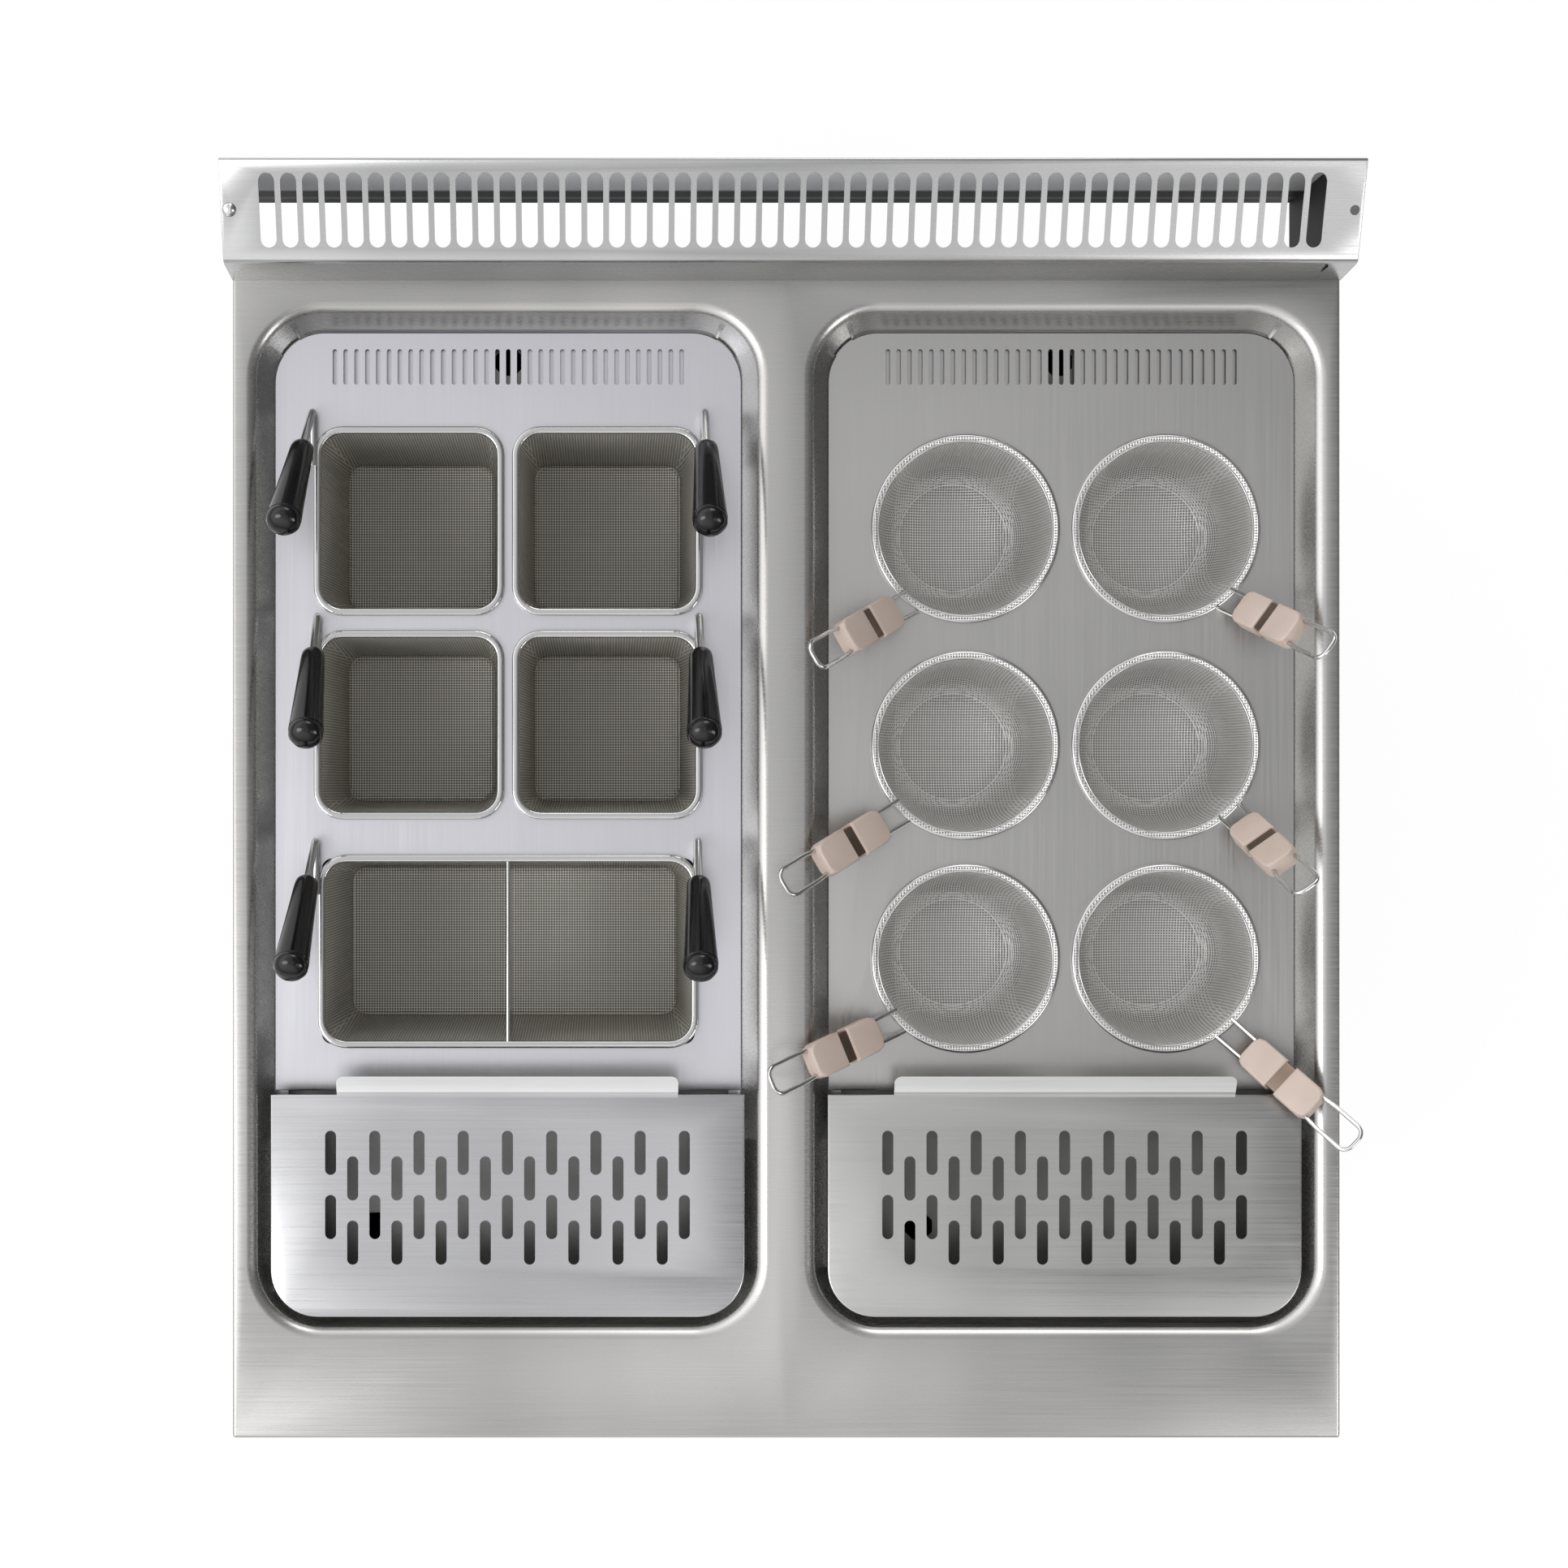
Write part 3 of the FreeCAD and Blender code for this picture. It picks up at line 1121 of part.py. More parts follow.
# Water filling line: rear inlet, feed pipe, two taps and a pipe from each tap to its tank
def make_water_line():
    radius = float(d.pipe_radius)
    normal = panel_turn().multVec(Vector(0, 0, 1))
    centre = Vector(0, float(panel_y), float(panel_z))
    feed_y = float(panel_y) + 38
    z = float(d.feed_z)
    side_x = float(d.feed_x)
    inlet_x = float(d.inlet_x)
    rear = float(junction_y + d.service_reach)
    cross_y = float(d.tank_rear) + 53
    feed = [Vector(*point, z) for point in ((float(fill_x[0]), feed_y), (side_x, feed_y), (side_x, cross_y),
                                            (inlet_x, cross_y), (inlet_x, rear))]
    parts = [custom("feed_pipe", bent_rod(feed, 20, radius, 8))]
    bores = []
    tank_wall = float(d.tank_front - d.casing_sheet)
    for number, x in enumerate(fill_x):
        start = centre + Vector(float(x), 0, 0) - normal * float(d.casing_sheet)
        inward = Rotation(Vector(0, 0, 1), normal * -1)
        parts.append(prism("tap_%d" % number, 14, 44, start.x, start.y, start.z, inward))
        parts.append(prism("fill_pipe_%d" % number, radius, tank_wall - feed_y, float(x), feed_y, d.fill_z,
                           along_y()))
        parts.append(prism("riser_%d" % number, radius - 1, float(d.fill_z) - z, float(x), feed_y, z))
        bores.append(tube("tap_bore_%d" % number, d.spindle_radius + d.running_gap, 33, start.x, start.y,
                          start.z, inward))
        bores.append(prism("fill_bore_%d" % number, radius - 2 * float(d.pipe_wall), 40, float(x),
                           tank_wall - 40, d.fill_z, along_y()))
    parts.append(tube("inlet_thread", d.inlet_radius, 14, inlet_x, rear - 14, z, along_y()))
    bores.append(prism("inlet_bore", d.pipe_radius, 14, inlet_x, rear - 12.9, z, along_y()))
    whole = joined("Fuse", "water_line_whole", *parts)
    holes = joined("Fuse", "water_line_holes", *bores)
    return keep(joined("Cut", "water_fill_line", whole, holes), "water_fill_line")


# Electrical entry: terminal box inside the back panel and a cable gland through it
def make_terminal_box():
    box = body("terminal_box")
    inner_y = junction_y - d.top_sheet - d.casing_sheet
    blank = pad(box, rectangle(sketch(box, "XZ_Plane", -inner_y), -95, 395, 95, 545), 62)
    dress(box, "Chamfer", blank, 3, lambda bound, edge: flat_at(bound.YMin, bound.YMax, inner_y - 62))
    return keep(box, "terminal_box")


def make_gland():
    outer = junction_y - d.top_sheet
    wall = d.casing_sheet
    radius = d.gland_radius
    nut = prism("gland_nut", radius + 8, 14 - wall, z=-14, sides=6)
    neck = prism("gland_neck", radius + 2.5, wall + 2, z=-wall - 1, sides=12)
    head = prism("gland_head", radius + 8, 9, sides=6)
    nose = turned("gland_nose", ((radius + 6, 8), (radius + 6, 16), (radius + 3, 22)))
    whole = joined("Fuse", "gland_whole", nut, neck, head, nose)
    bore = primitive("Cylinder", "gland_bore", {"Radius": radius, "Height": 40}, z=-16)
    gland = joined("Cut", "cable_gland", whole, bore)
    place(gland, -d.well_centre, outer, d.manifold_z, along_y())
    return keep(gland, "cable_gland")


make_worktop()
make_hood()
wells = (("left", -d.well_centre), ("right", d.well_centre))
for name, centre in wells:
    make_tank("tank_" + name, centre)
    make_drain_plate("drain_plate_" + name, centre)
    make_heater("heater_" + name, centre)
    make_drain_pipe("drain_pipe_" + name, centre)
    make_lever("drain_lever_" + name, centre)
make_holder_plate("basket_plate", -d.well_centre, basket_openings)
make_holder_plate("strainer_plate", d.well_centre, strainer_openings)

# Basket handles: side, offset from the rim in mm and outward spread in degrees, as each one lies
left_x = -d.well_centre - d.basket_spacing / 2
right_x = -d.well_centre + d.basket_spacing / 2
make_basket("basket_1", left_x, d.basket_rear_y, d.basket_width, d.basket_length, ((-1, 0, 8),))
make_basket("basket_2", right_x, d.basket_rear_y, d.basket_width, d.basket_length, ((1, 1, 1),))
make_basket("basket_3", left_x, d.basket_middle_y, d.basket_width, d.basket_length, ((-1, -3, 0),))
make_basket("basket_4", right_x, d.basket_middle_y, d.basket_width, d.basket_length, ((1, -3, 1),))
make_basket("basket_5", -d.well_centre, d.basket_front_y, d.big_basket_width, d.big_basket_length,
            ((-1, 1, 6), (1, -1, 0)), divided=True)

# Strainer handles: where they leave the rim, which way they point and how steeply they rise
strainer_left = d.well_centre + d.strainer_shift - d.strainer_spacing / 2
strainer_right = d.well_centre + d.strainer_shift + d.strainer_spacing / 2
STRAINERS = (
    (strainer_left, d.strainer_rear_y, -127, -150, 47),
    (strainer_right, d.strainer_rear_y, -50, -36, 58),
    (strainer_left, d.strainer_middle_y, -134, -150, 36),
    (strainer_right, d.strainer_middle_y, -46, -55, 60),
    (strainer_left, d.strainer_front_y, -137, -158, 36),
    (strainer_right, d.strainer_front_y, -50, -43, 27),
)
bowl = make_bowl()
for number, (x, y, rim_turn, turn, lift) in enumerate(STRAINERS, start=1):
    make_strainer("strainer_%d" % number, bowl, x, y, rim_turn, turn, lift)

make_side_panel("side_panel_left", -1)
make_side_panel("side_panel_right", 1)
make_back_panel()
make_base_tray()
make_front_frame()
make_legs()
for name, x, y in (("front_left", -d.foot_x, d.foot_front_y), ("front_right", d.foot_x, d.foot_front_y),
                   ("rear_left", -d.foot_x, d.foot_rear_y), ("rear_right", d.foot_x, d.foot_rear_y)):
    make_foot("foot_" + name, x, y)
make_control_panel()
for name, heat, fill in (("left", heat_x[0], fill_x[0]), ("right", heat_x[1], fill_x[1])):
    make_knob("heat_knob_" + name, heat)
    make_knob("fill_knob_" + name, fill)
make_lamps()
make_switches()
make_door("door_left", -1)
make_door("door_right", 1)
make_hinges()
make_manifold()
make_water_line()
make_terminal_box()
make_gland()


def straight_rim(wire):
    if any(edge.Length > edge.Vertexes[0].Point.distanceToPoint(edge.Vertexes[-1].Point) + 1e-6
           for edge in wire.Edges):
        return wire
    corners = [vertex.Point for vertex in wire.OrderedVertexes]
    return Part.makePolygon(corners + corners[:1])


def flat_faced(shape):
    """The same solids, with each lofted face that lies in a plane held as a true plane."""
    solids = []
    for solid in shape.Solids:
        lofted = [face for face in solid.Faces if not isinstance(face.Surface, Part.Plane) and face.findPlane(1e-4)]
        if lofted and len(solid.Shells) == 1:
            faces = [face for face in solid.Faces if not any(face.isSame(one) for one in lofted)]
            faces += [Part.makeFace([straight_rim(wire) for wire in face.Wires], "Part::FaceMakerBullseye")
                      for face in lofted]
            skin = Part.Compound(faces)
            skin.sewShape()
            made = Part.Solid(skin.Shells[0])
            if made.Volume < 0:
                made.reverse()
            if not made.isValid() or abs(made.Volume - solid.Volume) > 1e-4 * solid.Volume:
                raise RuntimeError("a solid changed while its faces were made flat")
            solid = made
        solids.append(solid)
    return solids[0] if len(solids) == 1 else Part.Compound(solids)


doc.recompute()
failed = [o.Label for o in doc.Objects if "Invalid" in o.State or "Error" in o.State]
if failed:
    raise RuntimeError("objects that failed: " + ", ".join(failed))
for piece in pieces:
    if piece.Shape.isNull() or not piece.Shape.isValid():
        raise RuntimeError(piece.Label + " has no valid shape")

os.makedirs("parts", exist_ok=True)
for piece in pieces:
    flat_faced(piece.Shape).exportStep("parts/" + piece.Label + ".step")
print(len(pieces), "pieces written")
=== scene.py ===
import math
import bpy
from mathutils import Matrix, Vector


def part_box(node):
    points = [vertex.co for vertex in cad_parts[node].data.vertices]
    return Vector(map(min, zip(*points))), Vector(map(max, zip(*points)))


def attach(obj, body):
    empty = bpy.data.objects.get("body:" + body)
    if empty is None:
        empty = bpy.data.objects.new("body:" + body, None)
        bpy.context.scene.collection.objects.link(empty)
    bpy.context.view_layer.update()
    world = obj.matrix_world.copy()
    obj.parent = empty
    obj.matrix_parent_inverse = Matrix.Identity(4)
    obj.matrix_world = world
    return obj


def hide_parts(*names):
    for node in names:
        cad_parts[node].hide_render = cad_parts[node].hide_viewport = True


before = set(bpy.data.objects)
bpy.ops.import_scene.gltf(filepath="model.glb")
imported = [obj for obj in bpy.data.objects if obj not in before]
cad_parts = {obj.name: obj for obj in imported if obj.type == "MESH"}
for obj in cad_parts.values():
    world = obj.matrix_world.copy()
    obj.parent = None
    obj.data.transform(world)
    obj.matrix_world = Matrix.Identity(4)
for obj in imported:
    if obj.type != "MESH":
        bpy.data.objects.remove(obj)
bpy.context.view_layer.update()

# Studio: a white floor and a plain soft light from above, as in a catalogue picture taken
# straight down. The floor shows white to the camera and in the steel, and keeps a light shadow.
# The room is white on the left and darker on the right, so the well walls show light and dark.
bpy.context.scene.view_settings.view_transform = "Standard"


def add_node(tree, kind, inputs=None, **settings):
    """Adds one shader node, with its settings and with values or links on its sockets."""
    made = tree.nodes.new("ShaderNode" + kind)
    for name, value in settings.items():
        setattr(made, name, value)
    for socket, value in (inputs or {}).items():
        if isinstance(value, bpy.types.NodeSocket):
            tree.links.new(value, made.inputs[socket])
        else:
            made.inputs[socket].default_value = value
    return made


def paint(code):
    """sRGB hex to the linear colour that a shader reads."""
    parts = [int(code[i:i + 2], 16) / 255 for i in (1, 3, 5)]
    return [p / 12.92 if p <= 0.04045 else ((p + 0.055) / 1.055) ** 2.4 for p in parts] + [1]


def new_material(name):
    made = bpy.data.materials.new(name)
    made.use_nodes = True
    made.node_tree.nodes.clear()
    return made, made.node_tree


floor_paint, tree = new_material("matt_white_floor")
rays = add_node(tree, "LightPath")
seen = add_node(tree, "Math", {0: rays.outputs["Is Camera Ray"], 1: rays.outputs["Is Glossy Ray"]},
                operation="MAXIMUM")
seen = add_node(tree, "Math", {0: seen.outputs[0], 1: rays.outputs["Is Transmission Ray"]},
                operation="MAXIMUM")
share = add_node(tree, "Math", {0: seen.outputs[0], 1: 0.88}, operation="MULTIPLY")
matt = add_node(tree, "BsdfDiffuse", {"Color": paint("#F4F4F4")})
white = add_node(tree, "Emission", {"Color": paint("#FFFFFF"), "Strength": 1.03})
mixed = add_node(tree, "MixShader", {0: share.outputs[0], 1: matt.outputs[0], 2: white.outputs[0]})
add_node(tree, "OutputMaterial", {"Surface": mixed.outputs[0]})

bpy.ops.object.select_all(action="DESELECT")
bpy.ops.mesh.primitive_plane_add(size=60, location=(0, 0, -0.0005))
floor = bpy.context.object
floor.name = "studio_floor"
floor.data.materials.append(floor_paint)

world = bpy.data.worlds.new("studio_ceiling")
world.use_nodes = True
tree = world.node_tree
tree.nodes.clear()
sky = add_node(tree, "TexCoord")
height = add_node(tree, "SeparateXYZ", {0: sky.outputs["Generated"]})
across = add_node(tree, "MapRange", {0: height.outputs["X"], 1: -1, 2: 1})


def colour_steps(tree, value, *steps):
    """A row of colours, each given with the place where it is reached."""
    made = add_node(tree, "ValToRGB", {0: value})
    row = made.color_ramp.elements
    row[0].position, row[0].color = steps[0][0], paint(steps[0][1])
    row[1].position, row[1].color = steps[-1][0], paint(steps[-1][1])
    for position, code in steps[1:-1]:
        row.new(position).color = paint(code)
    return made


upwards = colour_steps(
    tree, height.outputs["Z"], (0, "#6B6C6D"), (0.06, "#9B9C9E"), (0.35, "#F4F4F5"),
    (0.62, "#FFFFFF"), (0.88, "#D2D2D4"), (1, "#D6D6D8"))
sideways = colour_steps(
    tree, across.outputs[0], (0, "#FFFFFF"), (0.2, "#FFFFFF"), (0.375, "#E6E6E6"),
    (0.45, "#DBDBDB"), (0.515, "#D6D6D6"), (0.565, "#BCBCBC"), (0.6, "#9E9E9E"),
    (0.65, "#888888"), (0.75, "#838383"), (0.9, "#595959"), (1, "#595959"))
shade = add_node(tree, "MixRGB", {0: 1, 1: upwards.outputs[0], 2: sideways.outputs[0]},
                 blend_type="MULTIPLY")
glow = add_node(tree, "Background", {"Color": shade.outputs[0], "Strength": 2.0})
add_node(tree, "OutputWorld", {"Surface": glow.outputs[0]})
bpy.context.scene.world = world

AIM = Vector((0, 0, 0.85))
for name, place, size, power in (
        ("softbox_left", (-1.9, -0.9, 3.2), 1.5, 26),
        ("softbox_right", (2.1, -1.6, 2.6), 1.2, 16),
        ("softbox_rear", (0.5, 2.6, 2.4), 1.4, 14),
        ("white_card_front", (0.05, -0.85, 3.4), 0.7, 0.55),
        ("white_card_right", (1.05, -1.5, 2.8), 1.1, 2.4)):
    bpy.ops.object.light_add(type="AREA", location=place)
    lamp = bpy.context.object
    lamp.name = name
    lamp.data.shape = "DISK"
    lamp.data.size = size
    lamp.data.energy = power
    lamp.rotation_euler = (AIM - lamp.location).to_track_quat("-Z", "Y").to_euler()

# Camera: straight down from 2.63 m above the worktop, as the photo is taken, and framed a little
# to the right of its axis.
bpy.ops.object.camera_add(location=(-0.1263, 0.0184, 3.48), rotation=(0, 0, 0))
camera = bpy.context.object
camera.data.lens = 83.6
camera.data.sensor_width = 36
camera.data.shift_x = 0.11
bpy.context.scene.camera = camera

# Worktop: one sheet of 2 mm stainless steel, 800 mm wide, with folded front and sides. Two wells
# are pressed into it, each with a rolled mouth, a sloped wall and a ledge that carries the
# lift-out plates. The sheet is satin brushed, with the grain from left to right.
TOP = 0.850
SIDE = 0.4
FRONT = -0.454
REAR = 0.382
SKIRT = 0.805
SHEET = 0.002
WELL_X = 0.2016
WELL_WIDTH = 0.366
WELL_FRONT = -0.377
WELL_REAR = 0.3615
WELL_DEPTH = 0.027
LEAN = 0.0135


def free():
    bpy.ops.object.select_all(action="DESELECT")


def block(name, low, high):
    """A solid block between two corners, the start of a folded or cut sheet."""
    free()
    bpy.ops.mesh.primitive_cube_add(size=1, location=[(a + b) / 2 for a, b in zip(low, high)],
                                    scale=[b - a for a, b in zip(low, high)])
    bpy.ops.object.transform_apply()
    made = bpy.context.object
    made.name = name
    return made


def pick(piece, kind, test):
    """Goes to edit mode with the faces, edges or vertices whose corner points pass the test."""
    if bpy.context.object != piece or bpy.context.mode != "EDIT_MESH":
        free()
        bpy.context.view_layer.objects.active = piece
        piece.select_set(True)
        bpy.ops.object.mode_set(mode="EDIT")
    bpy.ops.mesh.select_mode(type=kind)
    bpy.ops.mesh.select_all(action="DESELECT")
    bpy.ops.object.mode_set(mode="OBJECT")
    mesh = piece.data
    items = {"VERT": mesh.vertices, "EDGE": mesh.edges, "FACE": mesh.polygons}[kind]
    for item in items:
        corners = [item.index] if kind == "VERT" else item.vertices
        item.select = bool(test([mesh.vertices[i].co for i in corners]))
    bpy.ops.object.mode_set(mode="EDIT")


def done():
    bpy.ops.object.mode_set(mode="OBJECT")


def span(points, axis):
    values = [p[axis] for p in points]
    return max(values) - min(values)


def at(points, axis, value, slack=0.0002):
    return all(abs(p[axis] - value) < slack for p in points)


def at_side(points):
    """Edges and faces on the left or right end of the object."""
    return at(points, 0, SIDE) or at(points, 0, -SIDE)


def upright(points):
    """Edges that stand along Z."""
    return span(points, 2) > 0.0005 and span(points, 0) < 0.0001 and span(points, 1) < 0.0001


def apply_all(piece):
    free()
    bpy.context.view_layer.objects.active = piece
    piece.select_set(True)
    for step in list(piece.modifiers):
        bpy.ops.object.modifier_apply(modifier=step.name)


def cut_out(piece, cutter):
    step = piece.modifiers.new("cut", "BOOLEAN")
    step.operation = "DIFFERENCE"
    step.solver = "EXACT"
    step.object = cutter
    apply_all(piece)
    bpy.data.objects.remove(cutter)


def row_of(piece, count, step):
    """Repeats a cutter along a row."""
    line = piece.modifiers.new("row", "ARRAY")
    line.count = count
    line.use_relative_offset = False
    line.use_constant_offset = True
    line.constant_offset_displace = step
    apply_all(piece)


def sheet_walls(piece, wall):
    """Gives a folded skin its sheet thickness, inwards."""
    skin = piece.modifiers.new("sheet", "SOLIDIFY")
    skin.thickness = wall
    skin.offset = -1
    skin.use_even_offset = True
    apply_all(piece)


def smooth(piece, angle=35):
    free()
    bpy.context.view_layer.objects.active = piece
    piece.select_set(True)
    bpy.ops.object.shade_smooth_by_angle(angle=math.radians(angle))


def finish_piece(piece, material, body, slot, *nodes):
    """Gives a piece its finish, sets it on its body and lets it stand for its CAD nodes."""
    piece.data.materials.clear()
    piece.data.materials.append(material)
    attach(piece, body)
    if nodes:
        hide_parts(*nodes)
    return piece


def brushed_steel(name, colour, roughness, grain, patch):
    """Satin brushed stainless steel: hairlines along the grain axis, about 0.4 mm apart but drawn
    1.1 mm apart so that they show, and soft lighter and darker clouds some 150 mm across."""
    made, tree = new_material(name)
    place = add_node(tree, "TexCoord")
    stretch = [900, 900, 900]
    stretch[grain] = 9
    lines_at = add_node(tree, "Mapping", {"Vector": place.outputs["Object"], "Scale": stretch})
    lines = add_node(tree, "TexNoise", {"Vector": lines_at.outputs[0], "Scale": 1, "Detail": 3})
    spread = [5.5, 5.5, 5.5]
    spread[1 - grain % 2] = 1.8
    clouds_at = add_node(tree, "Mapping", {"Vector": place.outputs["Object"], "Scale": spread})
    patches = add_node(tree, "TexNoise", {"Vector": clouds_at.outputs[0], "Scale": 1, "Detail": 2})
    shade = add_node(tree, "MapRange", {0: patches.outputs[0], 1: 0.3, 2: 0.7,
                                        3: 1 - patch, 4: 1 + patch})
    hair = add_node(tree, "MapRange", {0: lines.outputs[0], 1: 0.3, 2: 0.7, 3: 0.985, 4: 1.015})
    both = add_node(tree, "Math", {0: shade.outputs[0], 1: hair.outputs[0]}, operation="MULTIPLY")
    tint = add_node(tree, "MixRGB", {0: 1, 1: paint(colour), 2: both.outputs[0]},
                    blend_type="MULTIPLY")
    rough = add_node(tree, "MapRange", {0: lines.outputs[0], 1: 0.3, 2: 0.7,
                                        3: roughness - 0.04, 4: roughness + 0.05})
    bump = add_node(tree, "Bump", {"Height": lines.outputs[0], "Strength": 0.03,
                                   "Distance": 0.0002})
    steel = add_node(tree, "BsdfPrincipled", {
        "Base Color": tint.outputs[0], "Metallic": 1, "Roughness": rough.outputs[0],
        "Normal": bump.outputs[0]})
    add_node(tree, "OutputMaterial", {"Surface": steel.outputs[0]})
    return made


def well_cutter(centre, above=0.002):
    """The pressed shape of one well, which starts a little above the sheet."""
    grow = above * LEAN / WELL_DEPTH
    half = WELL_WIDTH / 2 + grow
    made = block("well_cutter", (centre - half, WELL_FRONT - grow, TOP + above),
                 (centre + half, WELL_REAR + grow, TOP + 0.03))
    pick(made, "EDGE", upright)
    bpy.ops.mesh.bevel(offset=0.049 + grow, segments=14, affect="EDGES")
    pick(made, "FACE", lambda p: at(p, 2, TOP + above))
    bpy.ops.mesh.inset(thickness=LEAN + grow, use_even_offset=True)
    bpy.ops.transform.translate(value=(0, 0, -WELL_DEPTH - above))
    done()
    return made


def in_well(point, slack=0.0004):
    """A point inside the mouth of a well or on its edge."""
    return (abs(abs(point[0]) - WELL_X) < WELL_WIDTH / 2 + slack
            and WELL_FRONT - slack < point[1] < WELL_REAR + slack)


def on_ledge(point, slack=0.004):
    """A point of a well's ledge that is clear of the foot of the sloped wall."""
    return (abs(abs(point[0]) - WELL_X) < WELL_WIDTH / 2 - LEAN - slack
            and WELL_FRONT + LEAN + slack < point[1] < WELL_REAR - LEAN - slack)


# The sheet is divided through the wells first, which keeps the rolled mouths clean.
worktop = block("worktop_sheet", (-SIDE, FRONT, SKIRT), (SIDE, REAR, TOP))
for place, normal in (((0, 0, TOP), (1, 0, 0)), ((WELL_X, 0, TOP), (1, 0, 0)),
                      ((-WELL_X, 0, TOP), (1, 0, 0)), ((0, -0.01, TOP), (0, 1, 0))):
    pick(worktop, "FACE", lambda p: True)
    bpy.ops.mesh.bisect(plane_co=place, plane_no=normal)
done()
for side in (-1, 1):
    cut_out(worktop, well_cutter(WELL_X * side))
pick(worktop, "FACE", lambda p: at(p, 2, TOP - WELL_DEPTH))
bpy.ops.mesh.inset(thickness=0.009, use_even_offset=True)
bpy.ops.mesh.delete(type="FACE")
pick(worktop, "FACE", lambda p: at(p, 2, SKIRT))
bpy.ops.mesh.delete(type="FACE")
pick(worktop, "EDGE", lambda p: at(p, 2, TOP) and all(in_well(q) for q in p)
     and p[0][0] * p[1][0] > 0)
bpy.ops.mesh.bevel(offset=0.006, segments=6, affect="EDGES")
pick(worktop, "EDGE", lambda p: at(p, 2, TOP - WELL_DEPTH) and not any(on_ledge(q) for q in p))
bpy.ops.mesh.bevel(offset=0.003, segments=4, affect="EDGES")
pick(worktop, "EDGE", lambda p: (at(p, 2, TOP) and (at_side(p) or at(p, 1, FRONT)))
     or (upright(p) and at(p, 1, FRONT)))
bpy.ops.mesh.bevel(offset=0.0022, segments=4, affect="EDGES")
done()
sheet_walls(worktop, SHEET)
hem = block("worktop_front_hem", (-0.398, -0.453, SKIRT), (0.398, -0.397, 0.807))
pick(hem, "EDGE", lambda p: at(p, 1, -0.397))
bpy.ops.mesh.bevel(offset=0.0008, segments=2, affect="EDGES")
done()
for piece in (worktop, hem):
    smooth(piece)
worktop_steel = brushed_steel("satin_brushed_steel", "#B4B3B1", 0.28, 0, 0.14)
finish_piece(worktop, worktop_steel, "cabinet", "steel_worktop", "worktop")
finish_piece(hem, worktop_steel, "cabinet", "steel_worktop")

# Flue hood: 1.5 mm sheet folded over the service gap behind the worktop. Its slanted top is
# pierced with a row of round-ended slots, and both ends are closed by walls. One pan head screw
# holds the left end, and the hole at the right end is bare.
HOOD_LOW = 0.760
HOOD_SLOTS = 49
HOOD_PITCH = 0.0153
SLOT_Y = 0.420
HOLE_X = 0.394
hood = block("flue_hood_sheet", (-SIDE, REAR, HOOD_LOW), (SIDE, 0.454, 0.9492))
pick(hood, "FACE", lambda p: True)
bpy.ops.mesh.bisect(plane_co=(0, 0, TOP), plane_no=(0, 0, 1))
pick(hood, "VERT", lambda p: p[0].z > 0.94 and p[0].y < 0.4)
bpy.ops.transform.translate(value=(0, 0.004, -0.0352))
pick(hood, "FACE", lambda p: at(p, 2, HOOD_LOW))
bpy.ops.mesh.delete(type="FACE")
pick(hood, "EDGE", lambda p: span(p, 0) > 0.7 and min(q.z for q in p) > TOP + 0.01)
bpy.ops.mesh.bevel(offset=0.0025, segments=4, affect="EDGES")
pick(hood, "EDGE", lambda p: at_side(p) and (min(q.z for q in p) > TOP + 0.01 or upright(p)))
bpy.ops.mesh.bevel(offset=0.0008, segments=2, affect="EDGES")
done()
sheet_walls(hood, 0.0015)


def round_slot(x, y, z0, z1, width, length):
    """Cutter for one slot with round ends."""
    made = block("slot_cutter", (x - width / 2, y - length / 2, z0),
                 (x + width / 2, y + length / 2, z1))
    pick(made, "EDGE", upright)
    bpy.ops.mesh.bevel(offset=width / 2 * 0.999, segments=6, affect="EDGES")
    done()
    return made


slots = round_slot(-HOOD_PITCH * (HOOD_SLOTS - 1) / 2, SLOT_Y, 0.88, 0.99, 0.0112, 0.0486)
row_of(slots, HOOD_SLOTS, (HOOD_PITCH, 0, 0))
cut_out(hood, slots)
for side in (-1, 1):
    free()
    bpy.ops.mesh.primitive_cylinder_add(vertices=24, radius=0.0033, depth=0.12,
                                        location=(HOLE_X * side, SLOT_Y, 0.93))
    cut_out(hood, bpy.context.object)
smooth(hood)
hood_steel = brushed_steel("brushed_hood_steel", "#AAAAAA", 0.28, 0, 0.10)
finish_piece(hood, hood_steel, "cabinet", "steel_worktop", "flue_hood")


def flue_lining():
    """Unbrushed inner side of the flue, dull, with painted light and shade by height: painted light
    grey high up where light comes in, painted dark shade lower down, and one painted grey band
    between two dark bands."""
    made, tree = new_material("flue_lining_painted_shade")
    place = add_node(tree, "TexCoord")
    where = add_node(tree, "SeparateXYZ", {0: place.outputs["Object"]})
    depth = add_node(tree, "MapRange", {0: where.outputs["Z"], 1: 0.76, 2: 0.86})
    tint = colour_steps(
        tree, depth.outputs[0], (0, "#141415"), (0.16, "#141415"), (0.2, "#6C6C6D"),
        (0.26, "#6C6C6D"), (0.3, "#0E0E0F"), (0.52, "#1A1A1B"), (0.6, "#E6E6E7"), (1, "#E6E6E7"))
    dull = add_node(tree, "BsdfPrincipled", {"Base Color": tint.outputs[0], "Metallic": 0.3,
                                             "Roughness": 0.6})
    add_node(tree, "OutputMaterial", {"Surface": dull.outputs[0]})
    return made


# Every face that looks at the middle line of the flue takes the lining and its painted shade.
hood.data.materials.append(flue_lining())
for face in hood.data.polygons:
    away = face.center - Vector((face.center.x, 0.418, 0.86))
    end_wall = abs(face.center.x) > 0.398 and face.center.x * face.normal.x < -0.1
    if away.dot(face.normal) < -0.03 or end_wall:
        face.material_index = 1


